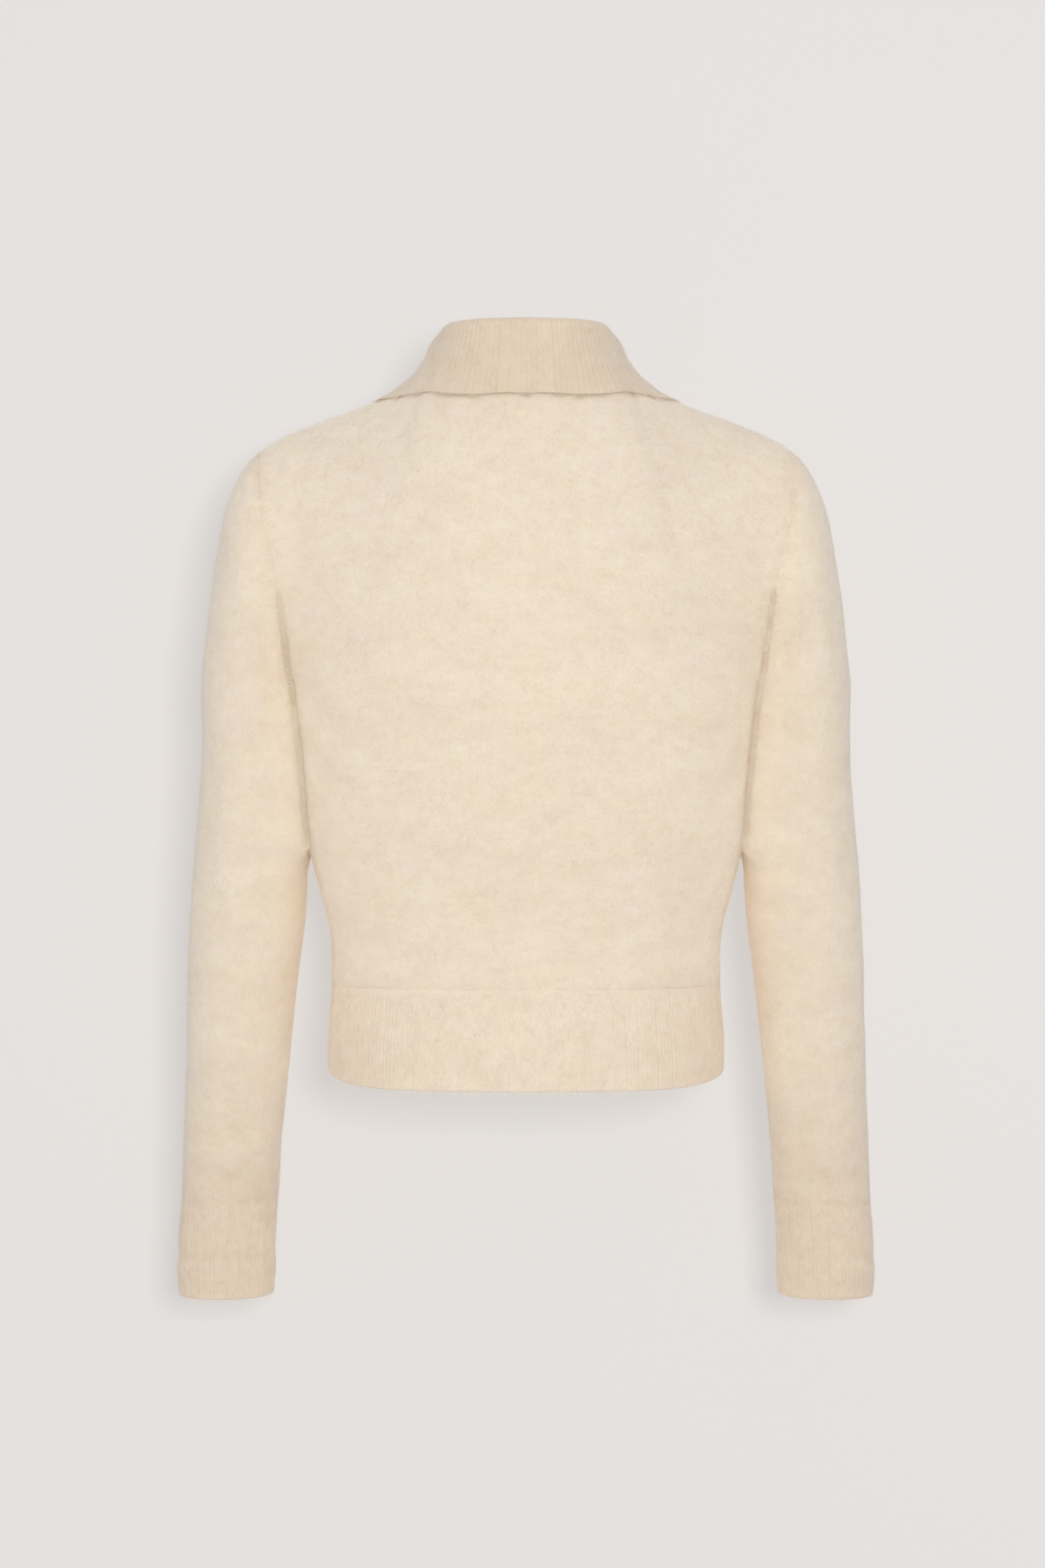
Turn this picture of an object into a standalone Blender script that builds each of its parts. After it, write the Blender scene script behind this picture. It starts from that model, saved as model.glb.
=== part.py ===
"""Cropped polo sweater in brushed knit, filled out as if worn, with nobody inside.

Metres, +Z up. The front faces -Y and the wearer's left is at +X. The origin is midway between the two
points where the neckline meets the shoulder seams, which is where a wearer's neck and shoulders hold it up.
Every piece that is cut and sewn is one closed wall of cloth: its outer points, and inner points one wall
thickness in along shared normals. Neighbours share the points of their seam, and each draws back from it.
"""

import math
from collections import namedtuple

import bpy
from mathutils import Vector
from mathutils.bvhtree import BVHTree

# Cloth
WALL = 0.0026  # plain knit
RIB_WALL = 0.0030  # rib knit, over the top of a rib
RIB_RELIEF = 0.0009  # how far a rib stands over its valley
SEAM_GAP = 0.00036  # between two pieces at a seam
COLLAR_CLEAR = 0.0030  # from the body to the underside of the collar that lies on it
MITRE_LIMIT = 0.65  # smallest cosine that a mitred seam is lengthened by

# Heights and shares
HEM_BOTTOM_Z = -0.529
HEM_TOP_Z = -0.456
UNDERARM_Z = -0.235
SHOULDER_TIP_Z = -0.058
ARMHOLE_HALF_DEPTH = 0.056
ARMHOLE_MID_Z = (UNDERARM_Z + SHOULDER_TIP_Z) / 2
ARMHOLE_HALF_HEIGHT = (SHOULDER_TIP_Z - UNDERARM_Z) / 2
TORSO_POWER = 2.5  # squareness of the torso's sections, 2 being an ellipse
SLEEVE_POWER = 2.2

# How a panel's columns bend over to the top: later with more round, and flatter there with more flat
Bend = namedtuple("Bend", "neck_round neck_flat shoulder_round shoulder_flat")
BACK_BEND = Bend(2.5, 1.6, 3.0, 2.0)
FRONT_BEND = Bend(1.8, 1.0, 2.4, 1.8)
BEND_COLUMNS = 6  # columns over which one bend passes into the other

# Divisions
NECK_STEPS = 9  # columns from the centre to the side of the neck
SHOULDER_STEPS = 6  # columns from the side of the neck to the armhole
HALF_STEPS = NECK_STEPS + SHOULDER_STEPS
SIDE_STEPS = 6  # rows from the hem rib to the underarm
ARMHOLE_STEPS = 10  # rows from the underarm to the shoulder tip
HEM_COLUMNS = 11  # inner columns of the hem rib from the centre to a side seam
HEM_FINE = 6  # outer columns for each inner one, two to a rib
CUFF_FINE = 4

Torso = namedtuple("Torso", "z half_width back front")
TORSO = [  # half_width is at the side seam up to the underarm, and at the armhole seam above it
    Torso(-0.529, 0.1480, 0.098, 0.100),
    Torso(-0.500, 0.1482, 0.096, 0.099),
    Torso(-0.456, 0.1452, 0.092, 0.098),
    Torso(-0.430, 0.1450, 0.092, 0.100),
    Torso(-0.400, 0.1500, 0.094, 0.105),
    Torso(-0.356, 0.1628, 0.100, 0.114),
    Torso(-0.300, 0.1682, 0.107, 0.123),
    Torso(-0.235, 0.1760, 0.113, 0.127),
    Torso(-0.190, 0.1795, 0.114, 0.124),
    Torso(-0.150, 0.1855, 0.113, 0.118),
    Torso(-0.105, 0.1955, 0.110, 0.107),
    Torso(-0.058, 0.2000, 0.099, 0.091),
]

Ridge = namedtuple("Ridge", "x z")
SHOULDER = [  # the shoulder seam
    Ridge(0.076, 0.0000),
    Ridge(0.100, -0.0145),
    Ridge(0.126, -0.0255),
    Ridge(0.162, -0.0385),
    Ridge(0.186, -0.0490),
    Ridge(0.200, -0.0580),
]

Neck = namedtuple("Neck", "share x y z")
BACK_NECK = [  # from the centre back to the shoulder seam
    Neck(0.00, 0.000, 0.061, -0.0080),
    Neck(0.25, 0.030, 0.056, -0.0075),
    Neck(0.50, 0.055, 0.040, -0.0050),
    Neck(0.75, 0.070, 0.020, -0.0020),
    Neck(1.00, 0.076, 0.000, 0.0000),
]
FRONT_NECK = [  # from the foot of the front opening to the shoulder seam
    Neck(0.00, 0.000, -0.1210, -0.150),
    Neck(0.22, 0.018, -0.1145, -0.114),
    Neck(0.46, 0.038, -0.0980, -0.074),
    Neck(0.72, 0.059, -0.0660, -0.034),
    Neck(0.87, 0.070, -0.0330, -0.013),
    Neck(1.00, 0.076, 0.0000, 0.000),
]

FRONT_NECK_CROWD = 1.25  # columns stand closer towards the shoulder seam, where the neckline turns

Ring = namedtuple("Ring", "out_x out_z in_x in_z mid_y half_depth")
SLEEVE = [  # rings after the armhole: the outermost point, the innermost one, and the depth between them
    Ring(0.2072, -0.0660, 0.1780, -0.2330, 0.000, 0.0580),
    Ring(0.2152, -0.0785, 0.1797, -0.2342, 0.000, 0.0595),
    Ring(0.2230, -0.0965, 0.1800, -0.2376, 0.000, 0.0605),
    Ring(0.2290, -0.1235, 0.1789, -0.2438, 0.001, 0.0605),
    Ring(0.2340, -0.1560, 0.1773, -0.2516, 0.001, 0.0600),
    Ring(0.2388, -0.1950, 0.1756, -0.2625, 0.002, 0.0585),
    Ring(0.2428, -0.2350, 0.1735, -0.2770, 0.002, 0.0560),
    Ring(0.2420, -0.2720, 0.1709, -0.2965, 0.002, 0.0535),
    Ring(0.2432, -0.3000, 0.1692, -0.3140, 0.001, 0.0515),
    Ring(0.2462, -0.3320, 0.1670, -0.3380, -0.001, 0.0490),
    Ring(0.2495, -0.3680, 0.1645, -0.3700, -0.002, 0.0470),
    Ring(0.2520, -0.4060, 0.1660, -0.4060, -0.004, 0.0455),
    Ring(0.2540, -0.4500, 0.1715, -0.4490, -0.008, 0.0435),
    Ring(0.2555, -0.4940, 0.1763, -0.4920, -0.013, 0.0415),
    Ring(0.2570, -0.5380, 0.1810, -0.5350, -0.018, 0.0395),
    Ring(0.2592, -0.5820, 0.1856, -0.5780, -0.023, 0.0378),
    Ring(0.2612, -0.6220, 0.1882, -0.6180, -0.028, 0.0362),
]
CUFF = [  # rings down the cuff, which pulls in at a soft crease and opens below it
    Ring(0.2612, -0.6220, 0.1882, -0.6180, -0.0280, 0.0362),
    Ring(0.2630, -0.6420, 0.1898, -0.6380, -0.0305, 0.0358),
    Ring(0.2640, -0.6560, 0.1906, -0.6520, -0.0320, 0.0356),
    Ring(0.2632, -0.6630, 0.1916, -0.6590, -0.0328, 0.0347),
    Ring(0.2650, -0.6720, 0.1904, -0.6680, -0.0338, 0.0356),
    Ring(0.2646, -0.6965, 0.1914, -0.6925, -0.0365, 0.0350),
]

# The collar, by stations along the neckline from the centre back (share 0) to the foot of the opening (1).
# The crest of its roll is off_body out from the neckline along the body's normal, and in_neck across it
# into the neck opening. The free edge comes down on the body nearest to edge, and halfway to it the fall
# hangs in towards the stand by sag.
Collar = namedtuple("Collar", "share off_body in_neck sag edge_x edge_y edge_z")
COLLAR = [
    Collar(0.00, 0.0350, 0.0240, 0.0000, 0.0000, 0.085, -0.0225),
    Collar(0.11, 0.0348, 0.0228, 0.0008, 0.0480, 0.078, -0.0200),
    Collar(0.20, 0.0296, 0.0240, 0.0036, 0.0880, 0.055, -0.0195),
    Collar(0.27, 0.0188, 0.0262, 0.0058, 0.1070, 0.031, -0.0215),
    Collar(0.33, 0.0128, 0.0190, 0.0056, 0.1155, 0.000, -0.0190),
    Collar(0.38, 0.0116, 0.0115, 0.0025, 0.1215, -0.025, -0.0300),
    Collar(0.45, 0.0112, 0.0065, 0.0005, 0.1245, -0.045, -0.0440),
    Collar(0.56, 0.0120, 0.0040, 0.0000, 0.1240, -0.070, -0.0700),
    Collar(0.72, 0.0120, 0.0022, 0.0000, 0.1120, -0.095, -0.1100),
    Collar(0.87, 0.0120, 0.0005, 0.0000, 0.0970, -0.108, -0.1450),
    Collar(1.00, 0.0118, -0.0010, 0.0000, 0.0810, -0.116, -0.1730),
]
COLLAR_END_X = 0.0072  # half the gap between the two ends of the collar at the foot of the opening
ROLL_RADIUS = 0.0048  # of the face of the roll
ROLL_TURNS = (-65, -22, 22, 65)  # degrees either side of the crest
COLLAR_PITCH = 0.0085  # a rib and a valley, along the neckline
FOOT_GAP = 0.00025  # from the seam line to the collar's foot, where the wall twists
STAND_BOW = 0.0008  # of the stand into the neck, at the centre back
FRONT_BOW = 0.0020  # and how much more at the front
FALL_WAYS = (0.28, 0.54, 0.78)  # rows between the roll and the edge

# Colours, linear
CREAM = (0.800, 0.690, 0.550)
RIB_CREAM = (0.740, 0.610, 0.475)

for old in list(bpy.data.objects):
    bpy.data.objects.remove(old, do_unlink=True)


def slope(table, knob, name, row):
    """Slope of a named column at one row, from the rows either side."""
    low = table[max(row - 1, 0)]
    high = table[min(row + 1, len(table) - 1)]
    return (getattr(high, name) - getattr(low, name)) / (getattr(high, knob) - getattr(low, knob))


def value(table, knob, name, at):
    """A named column at a place on its knob column, on a smooth curve through the rows."""
    row = 0
    while row < len(table) - 2 and (at - getattr(table[row + 1], knob)) > 0:
        row += 1
    start = getattr(table[row], knob)
    span = getattr(table[row + 1], knob) - start
    part = min(max((at - start) / span, 0.0), 1.0)
    first = getattr(table[row], name)
    last = getattr(table[row + 1], name)
    lead = slope(table, knob, name, row) * span
    trail = slope(table, knob, name, row + 1) * span
    square = part * part
    cube = square * part
    return (first * (2 * cube - 3 * square + 1) + lead * (cube - 2 * square + part)
            + last * (3 * square - 2 * cube) + trail * (cube - square))


def quarter(half_width, depth, fractions):
    """Points (x, y) at even shares of the arc of a quarter section, from the centre to the side seam."""
    dense = []
    for step in range(91):
        angle = math.radians(step)
        dense.append((half_width * math.sin(angle) ** (2 / TORSO_POWER),
                      depth * max(math.cos(angle), 0.0) ** (2 / TORSO_POWER)))
    dense[-1] = (half_width, 0.0)
    run = [0.0]
    for first, last in zip(dense, dense[1:]):
        run.append(run[-1] + math.dist(first, last))
    points = []
    for fraction in fractions:
        goal = fraction * run[-1]
        seat = 0
        while seat < len(run) - 2 and run[seat + 1] < goal:
            seat += 1
        part = (goal - run[seat]) / (run[seat + 1] - run[seat])
        points.append((dense[seat][0] + part * (dense[seat + 1][0] - dense[seat][0]),
                       dense[seat][1] + part * (dense[seat + 1][1] - dense[seat][1])))
    points[-1] = (half_width, 0.0) if fractions[-1] == 1.0 else points[-1]
    return points


def armhole(step, facing):
    """Point of the left armhole seam, step 0 at the underarm and ARMHOLE_STEPS at the shoulder tip."""
    if step == 0:
        return Vector((value(TORSO, "z", "half_width", UNDERARM_Z), 0.0, UNDERARM_Z))
    if step == ARMHOLE_STEPS:
        return Vector((SHOULDER[-1].x, 0.0, SHOULDER_TIP_Z))
    angle = math.pi * step / ARMHOLE_STEPS
    height = ARMHOLE_MID_Z - ARMHOLE_HALF_HEIGHT * math.cos(angle)
    return Vector((value(TORSO, "z", "half_width", height),
                   facing * ARMHOLE_HALF_DEPTH * math.sin(angle), height))


def panel(facing):
    """Outer points of the back (facing 1) or the front (-1), rows from the hem rib up, columns from -X."""
    side_name = "back" if facing > 0 else "front"
    neck = BACK_NECK if facing > 0 else FRONT_NECK
    bend = BACK_BEND if facing > 0 else FRONT_BEND
    fractions = [column / HALF_STEPS for column in range(HALF_STEPS + 1)]
    rows = []
    for step in range(SIDE_STEPS + 1):
        height = HEM_TOP_Z + (UNDERARM_Z - HEM_TOP_Z) * step / SIDE_STEPS
        half = quarter(value(TORSO, "z", "half_width", height),
                       value(TORSO, "z", side_name, height), fractions)
        rows.append([Vector((x, facing * y, height)) for x, y in half])
    under = rows[-1]
    crowd = 1.0 if facing > 0 else FRONT_NECK_CROWD
    shares = [1.0 - (1.0 - step / NECK_STEPS) ** crowd for step in range(NECK_STEPS + 1)]
    top = [Vector([value(neck, "share", axis, share) for axis in "xyz"]) for share in shares]
    top[0].x = 0.0
    top[-1].y = 0.0
    for step in range(1, SHOULDER_STEPS + 1):
        x = SHOULDER[0].x + (SHOULDER[-1].x - SHOULDER[0].x) * step / SHOULDER_STEPS
        top.append(Vector((x, 0.0, value(SHOULDER, "x", "z", x))))
    top[-1] = armhole(ARMHOLE_STEPS, facing)
    for step in range(1, ARMHOLE_STEPS):
        edge = armhole(step, facing)
        rise_edge = (edge.z - UNDERARM_Z) / (SHOULDER_TIP_Z - UNDERARM_Z)
        straight_x = under[-1].x + (top[-1].x - under[-1].x) * rise_edge
        row = []
        for column in range(HALF_STEPS):
            across = column / HALF_STEPS
            lift = step / ARMHOLE_STEPS
            lift += (rise_edge - lift) * across ** 2
            low = under[column]
            high = top[column]
            to_seam = min(max((column - NECK_STEPS + BEND_COLUMNS) / BEND_COLUMNS, 0.0), 1.0)
            to_seam = to_seam * to_seam * (3.0 - 2.0 * to_seam)
            late = bend.neck_round + (bend.shoulder_round - bend.neck_round) * to_seam
            flat = bend.neck_flat + (bend.shoulder_flat - bend.neck_flat) * to_seam
            keep = (1.0 - lift ** late) ** (1.0 / flat)
            x = low.x + (high.x - low.x) * lift + across ** 2 * (edge.x - straight_x)
            y = high.y + (low.y - high.y) * keep + across ** 4 * edge.y
            row.append(Vector((x, y, low.z + (high.z - low.z) * lift)))
        rows.append(row + [edge])
    rows.append(top)
    return [[Vector((-point.x, point.y, point.z)) for point in reversed(row[1:])] + row for row in rows]


def ring(place, count):
    """Points round one ring of the left sleeve, from the underarm by way of the back."""
    out = Vector((place.out_x, place.mid_y, place.out_z))
    inn = Vector((place.in_x, place.mid_y, place.in_z))
    middle = (out + inn) / 2
    reach = (inn - out) / 2
    points = []
    for step in range(count):
        angle = math.tau * step / count
        along = abs(math.cos(angle)) ** (2 / SLEEVE_POWER) * math.copysign(1, math.cos(angle))
        aside = abs(math.sin(angle)) ** (2 / SLEEVE_POWER) * math.copysign(1, math.sin(angle))
        points.append(middle + reach * along + Vector((0, place.half_depth * aside, 0)))
    return points


def sleeve():
    """Outer points of the left sleeve, rings from the armhole down."""
    seam = [armhole(step, 1) for step in range(ARMHOLE_STEPS + 1)]
    seam += [armhole(step, -1) for step in range(ARMHOLE_STEPS - 1, 0, -1)]
    return [seam] + [ring(place, 2 * ARMHOLE_STEPS) for place in SLEEVE]


def mirrored(grid):
    return [[Vector((-point.x, point.y, point.z)) for point in row] for row in grid]


def corners(grid, wrap):
    """Index pairs of the four corners of every cell, row pairs upward in the list."""
    width = len(grid[0])
    for row in range(len(grid) - 1):
        for column in range(width if wrap else width - 1):
            after = (column + 1) % width
            yield (row, column), (row, after), (row + 1, after), (row + 1, column)


def key(point):
    return (round(point.x, 6), round(point.y, 6), round(point.z, 6))


def add_normals(store, grid, wrap, turn):
    """Adds every cell's normals at its corners to the store. Turn -1 reverses them."""
    for cell in corners(grid, wrap):
        spots = [grid[row][column] for row, column in cell]
        face = (spots[2] - spots[0]).cross(spots[3] - spots[1])
        if face.length < 1e-12:
            continue
        face = face.normalized() * turn
        for corner in range(4):
            ahead = spots[(corner + 1) % 4] - spots[corner]
            behind = spots[corner - 1] - spots[corner]
            if ahead.length < 1e-9 or behind.length < 1e-9:
                continue
            store.setdefault(key(spots[corner]), []).append((face, ahead.angle(behind)))


def normal_at(store, point):
    """Shared unit normal, and how much longer the wall is along it at a crease."""
    total = Vector((0, 0, 0))
    weight = 0.0
    for face, angle in store[key(point)]:
        total += face * angle
        weight += angle
    unit = total.normalized()
    lean = sum(face.dot(unit) * angle for face, angle in store[key(point)]) / weight
    return unit, 1.0 / max(lean, MITRE_LIMIT)


def seam_sides(line, normals, closed):
    """Unit vectors across a seam line, square to its wall, one a point."""
    sides = []
    count = len(line)
    for index in range(count):
        ahead = line[(index + 1) % count] if closed or index < count - 1 else line[index]
        behind = line[index - 1] if closed or index > 0 else line[index]
        sides.append((ahead - behind).normalized().cross(normals[index]).normalized())
    return sides


def rank(point):
    """Orders the points of an edge the same way in both pieces that share it."""
    return (round(point.z, 4), round(abs(point.x), 4), round(abs(point.y), 4))


def strip(points, faces, outer, inner, anchors, flip):
    """Rim between an outer edge and an inner one, whose points face the outer ones at the anchors."""
    for index in range(len(inner) - 1):
        first = anchors[index]
        last = anchors[index + 1]
        middle = (first + last) // 2
        if last - first == 1:
            high = max((outer[first], outer[last]), key=lambda spot: rank(points[spot]))
            if high == outer[first]:
                rim = [(outer[first], outer[last], inner[index + 1]),
                       (outer[first], inner[index + 1], inner[index])]
            else:
                rim = [(outer[first], outer[last], inner[index]),
                       (outer[last], inner[index + 1], inner[index])]
        else:
            rim = [(outer[step], outer[step + 1], inner[index]) for step in range(first, middle)]
            rim.append((outer[middle], inner[index + 1], inner[index]))
            rim += [(outer[step], outer[step + 1], inner[index + 1]) for step in range(middle, last)]
        for face in rim:
            faces.append(tuple(reversed(face)) if flip else face)


def solid(name, outer, inner, wrap, turn, anchors, colour):
    """One closed wall from its outer and inner points, with an object and a material of its name."""
    points = [point for row in outer for point in row]
    width = len(outer[0])
    base = len(points)
    points += [point for row in inner for point in row]
    inner_width = len(inner[0])
    faces = []
    for cell in corners(outer, wrap):
        face = tuple(row * width + column for row, column in cell)
        for half in ((face[0], face[1], face[2]), (face[0], face[2], face[3])):
            faces.append(half if turn > 0 else tuple(reversed(half)))
    for cell in corners(inner, wrap):
        face = tuple(base + row * inner_width + column for row, column in cell)
        for half in ((face[0], face[1], face[2]), (face[0], face[2], face[3])):
            faces.append(tuple(reversed(half)) if turn > 0 else half)
    rows = len(outer)
    for row, flip in ((0, turn > 0), (rows - 1, turn < 0)):
        out_edge = [row * width + column for column in range(width)]
        in_edge = [base + row * inner_width + column for column in range(inner_width)]
        if wrap:
            out_edge.append(out_edge[0])
            in_edge.append(in_edge[0])
        strip(points, faces, out_edge, in_edge, anchors, flip)
    if not wrap:
        for column, inner_column, flip in ((0, 0, turn < 0), (width - 1, inner_width - 1, turn > 0)):
            out_edge = [row * width + column for row in range(rows)]
            in_edge = [base + row * inner_width + inner_column for row in range(rows)]
            strip(points, faces, out_edge, in_edge, list(range(rows)), flip)
    mesh = bpy.data.meshes.new(name)
    mesh.from_pydata([tuple(point) for point in points], [], faces)
    mesh.validate()
    mesh.polygons.foreach_set("use_smooth", [True] * len(mesh.polygons))
    mesh.update()
    item = bpy.data.objects.new(name, mesh)
    bpy.context.collection.objects.link(item)
    material = bpy.data.materials.new(name + "_knit")
    material.use_nodes = True
    shader = material.node_tree.nodes["Principled BSDF"]
    shader.inputs["Base Color"].default_value = (*colour, 1.0)
    shader.inputs["Roughness"].default_value = 0.95
    shader.inputs["Metallic"].default_value = 0.0
    mesh.materials.append(material)
    return item


back_grid = panel(1)
front_grid = panel(-1)
left_grid = sleeve()
right_grid = mirrored(left_grid)
shared = {}
add_normals(shared, back_grid, False, -1)
add_normals(shared, front_grid, False, 1)
add_normals(shared, left_grid, True, 1)
add_normals(shared, right_grid, True, -1)

HALF_GAP = SEAM_GAP / 2


def armhole_sides(grid):
    """Vectors across the armhole seam of one side, from the body towards the sleeve."""
    line = grid[0]
    normals = [normal_at(shared, point)[0] for point in line]
    sides = seam_sides(line, normals, True)
    found = {}
    for point, side, after in zip(line, sides, grid[1]):
        found[key(point)] = side if side.dot(after - point) > 0 else -side
    return found


across_armhole = armhole_sides(left_grid)
across_armhole.update(armhole_sides(right_grid))


def wall_points(grid, facing):
    """Outer and inner points of a panel, drawn back from its seams, and its neckline as it was."""
    outer = []
    inner = []
    neck_pairs = []
    last_row = len(grid) - 1
    middle = HALF_STEPS
    neck_line = [grid[last_row][column] for column in range(middle - NECK_STEPS, middle + NECK_STEPS + 1)]
    neck_normals = []
    for point in neck_line:
        unit, _ = normal_at(shared, point)
        if abs(point.y) < 1e-9:
            unit = Vector((unit.x, 0, unit.z)).normalized()
        neck_normals.append(unit)
    for _ in range(3):
        evened = [neck_normals[0]]
        for before, here, after in zip(neck_normals, neck_normals[1:], neck_normals[2:]):
            evened.append((before + 2 * here + after).normalized())
        neck_normals = evened + [neck_normals[-1]]
    neck_sides = seam_sides(neck_line, neck_normals, False)
    for index, side in enumerate(neck_sides):
        below = grid[last_row - 1][middle - NECK_STEPS + index]
        if side.dot(neck_line[index] - below) < 0:
            neck_sides[index] = -side
    for row, line in enumerate(grid):
        outer_row = []
        inner_row = []
        for column, point in enumerate(line):
            unit, stretch = normal_at(shared, point)
            on_seam = abs(point.y) < 1e-9
            if on_seam:
                unit = Vector((unit.x, 0, unit.z)).normalized()
            if row == 0:
                unit = Vector((unit.x, unit.y, 0)).normalized()
            move = Vector((0, 0, 0))
            if row == 0:
                move.z += HALF_GAP
            if on_seam:
                move.y += facing * HALF_GAP
            if key(point) in across_armhole:
                move -= across_armhole[key(point)] * HALF_GAP
            place = column - (middle - NECK_STEPS)
            if row == last_row and 0 <= place <= 2 * NECK_STEPS:
                unit = neck_normals[place]
                move -= neck_sides[place] * HALF_GAP
                neck_pairs.append((point.copy(), point - unit * WALL * stretch, neck_sides[place]))
            outer_row.append(point + move)
            inner_row.append(point - unit * WALL * stretch + move)
        outer.append(outer_row)
        inner.append(inner_row)
    return outer, inner, neck_pairs


back_outer, back_inner, back_neck = wall_points(back_grid, 1)
front_outer, front_inner, front_neck = wall_points(front_grid, -1)
EVERY_COLUMN = list(range(2 * HALF_STEPS + 1))
solid("back", back_outer, back_inner, False, -1, EVERY_COLUMN, CREAM)
solid("front", front_outer, front_inner, False, 1, EVERY_COLUMN, CREAM)


def sleeve_wall(name, grid, turn):
    outer = []
    inner = []
    last_row = len(grid) - 1
    down = (sum((a - b for a, b in zip(grid[-1], grid[-2])), Vector()) / len(grid[-1])).normalized()
    end_normal = (grid[-1][5] - grid[-1][0]).cross(grid[-1][10] - grid[-1][0]).normalized()
    if end_normal.dot(down) < 0:
        end_normal = -end_normal
    for row, line in enumerate(grid):
        outer_row = []
        inner_row = []
        for point in line:
            unit, stretch = normal_at(shared, point)
            move = Vector((0, 0, 0))
            if row == 0:
                if abs(point.y) < 1e-9:
                    unit = Vector((unit.x, 0, unit.z)).normalized()
                move += across_armhole[key(point)] * HALF_GAP
            if row == last_row:
                unit = (unit - end_normal * unit.dot(end_normal)).normalized()
                move -= end_normal * HALF_GAP
            outer_row.append(point + move)
            inner_row.append(point - unit * WALL * stretch + move)
        outer.append(outer_row)
        inner.append(inner_row)
    solid(name, outer, inner, True, turn, list(range(2 * ARMHOLE_STEPS + 1)), CREAM)


sleeve_wall("sleeve_left", left_grid, 1)
sleeve_wall("sleeve_right", right_grid, -1)


def ribbed(name, grid, wrap, turn, fine, bare_rows, moves, colour, flatten=None):
    """A rib-knit wall: every other outer column stands out, over an inner wall with fewer columns."""
    store = {}
    add_normals(store, grid, wrap, turn)
    outer = []
    inner = []
    for row, line in enumerate(grid):
        outer_row = []
        inner_row = []
        for column, point in enumerate(line):
            unit, _ = normal_at(store, point)
            if flatten:
                unit = flatten(row, column, unit)
            dip = RIB_RELIEF if column % 2 and row not in bare_rows else 0.0
            shift = moves(row, column)
            outer_row.append(point - unit * dip + shift)
            if column % fine == 0:
                inner_row.append(point - unit * RIB_WALL + shift)
        outer.append(outer_row)
        inner.append(inner_row)
    anchors = list(range(0, len(grid[0]) + 1, fine))
    return solid(name, outer, inner, wrap, turn, anchors, colour)


def hem(name, facing):
    side_name = "back" if facing > 0 else "front"
    count = HEM_COLUMNS * HEM_FINE
    fractions = [column / count for column in range(count + 1)]
    rows = []
    heights = (HEM_BOTTOM_Z, HEM_BOTTOM_Z + 0.024, HEM_BOTTOM_Z + 0.050, HEM_TOP_Z)
    for height in heights:
        half = quarter(value(TORSO, "z", "half_width", height),
                       value(TORSO, "z", side_name, height), fractions)
        line = [Vector((x, facing * y, height)) for x, y in half]
        rows.append([Vector((-point.x, point.y, point.z)) for point in reversed(line[1:])] + line)
    ends = (0, 2 * count)

    def moves(row, column):
        shift = Vector((0, 0, 0))
        if row == len(rows) - 1:
            shift.z -= HALF_GAP
        if column in ends:
            shift.y += facing * HALF_GAP
        return shift

    def flatten(row, column, unit):
        if column in ends:
            unit = Vector((unit.x, 0, unit.z)).normalized()
        if row == len(rows) - 1:
            unit = Vector((unit.x, unit.y, 0)).normalized()
        return unit

    ribbed(name, rows, False, -facing, HEM_FINE, (), moves, RIB_CREAM, flatten)


hem("hem_back", 1)
hem("hem_front", -1)


def cuff(name, mirror):
    count = 2 * ARMHOLE_STEPS * CUFF_FINE
    rows = [ring(place, count) for place in CUFF]
    if mirror:
        rows = mirrored(rows)
    quarter_turn = count // 4
    plane = (rows[0][quarter_turn] - rows[0][0]).cross(rows[0][2 * quarter_turn] - rows[0][0]).normalized()
    if plane.z > 0:
        plane = -plane

    def moves(row, column):
        return plane * HALF_GAP if row == 0 else Vector((0, 0, 0))

    def flatten(row, column, unit):
        return (unit - plane * unit.dot(plane)).normalized() if row == 0 else unit

    ribbed(name, rows, True, -1 if mirror else 1, CUFF_FINE, (), moves, RIB_CREAM, flatten)


cuff("cuff_left", False)
cuff("cuff_right", True)


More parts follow.
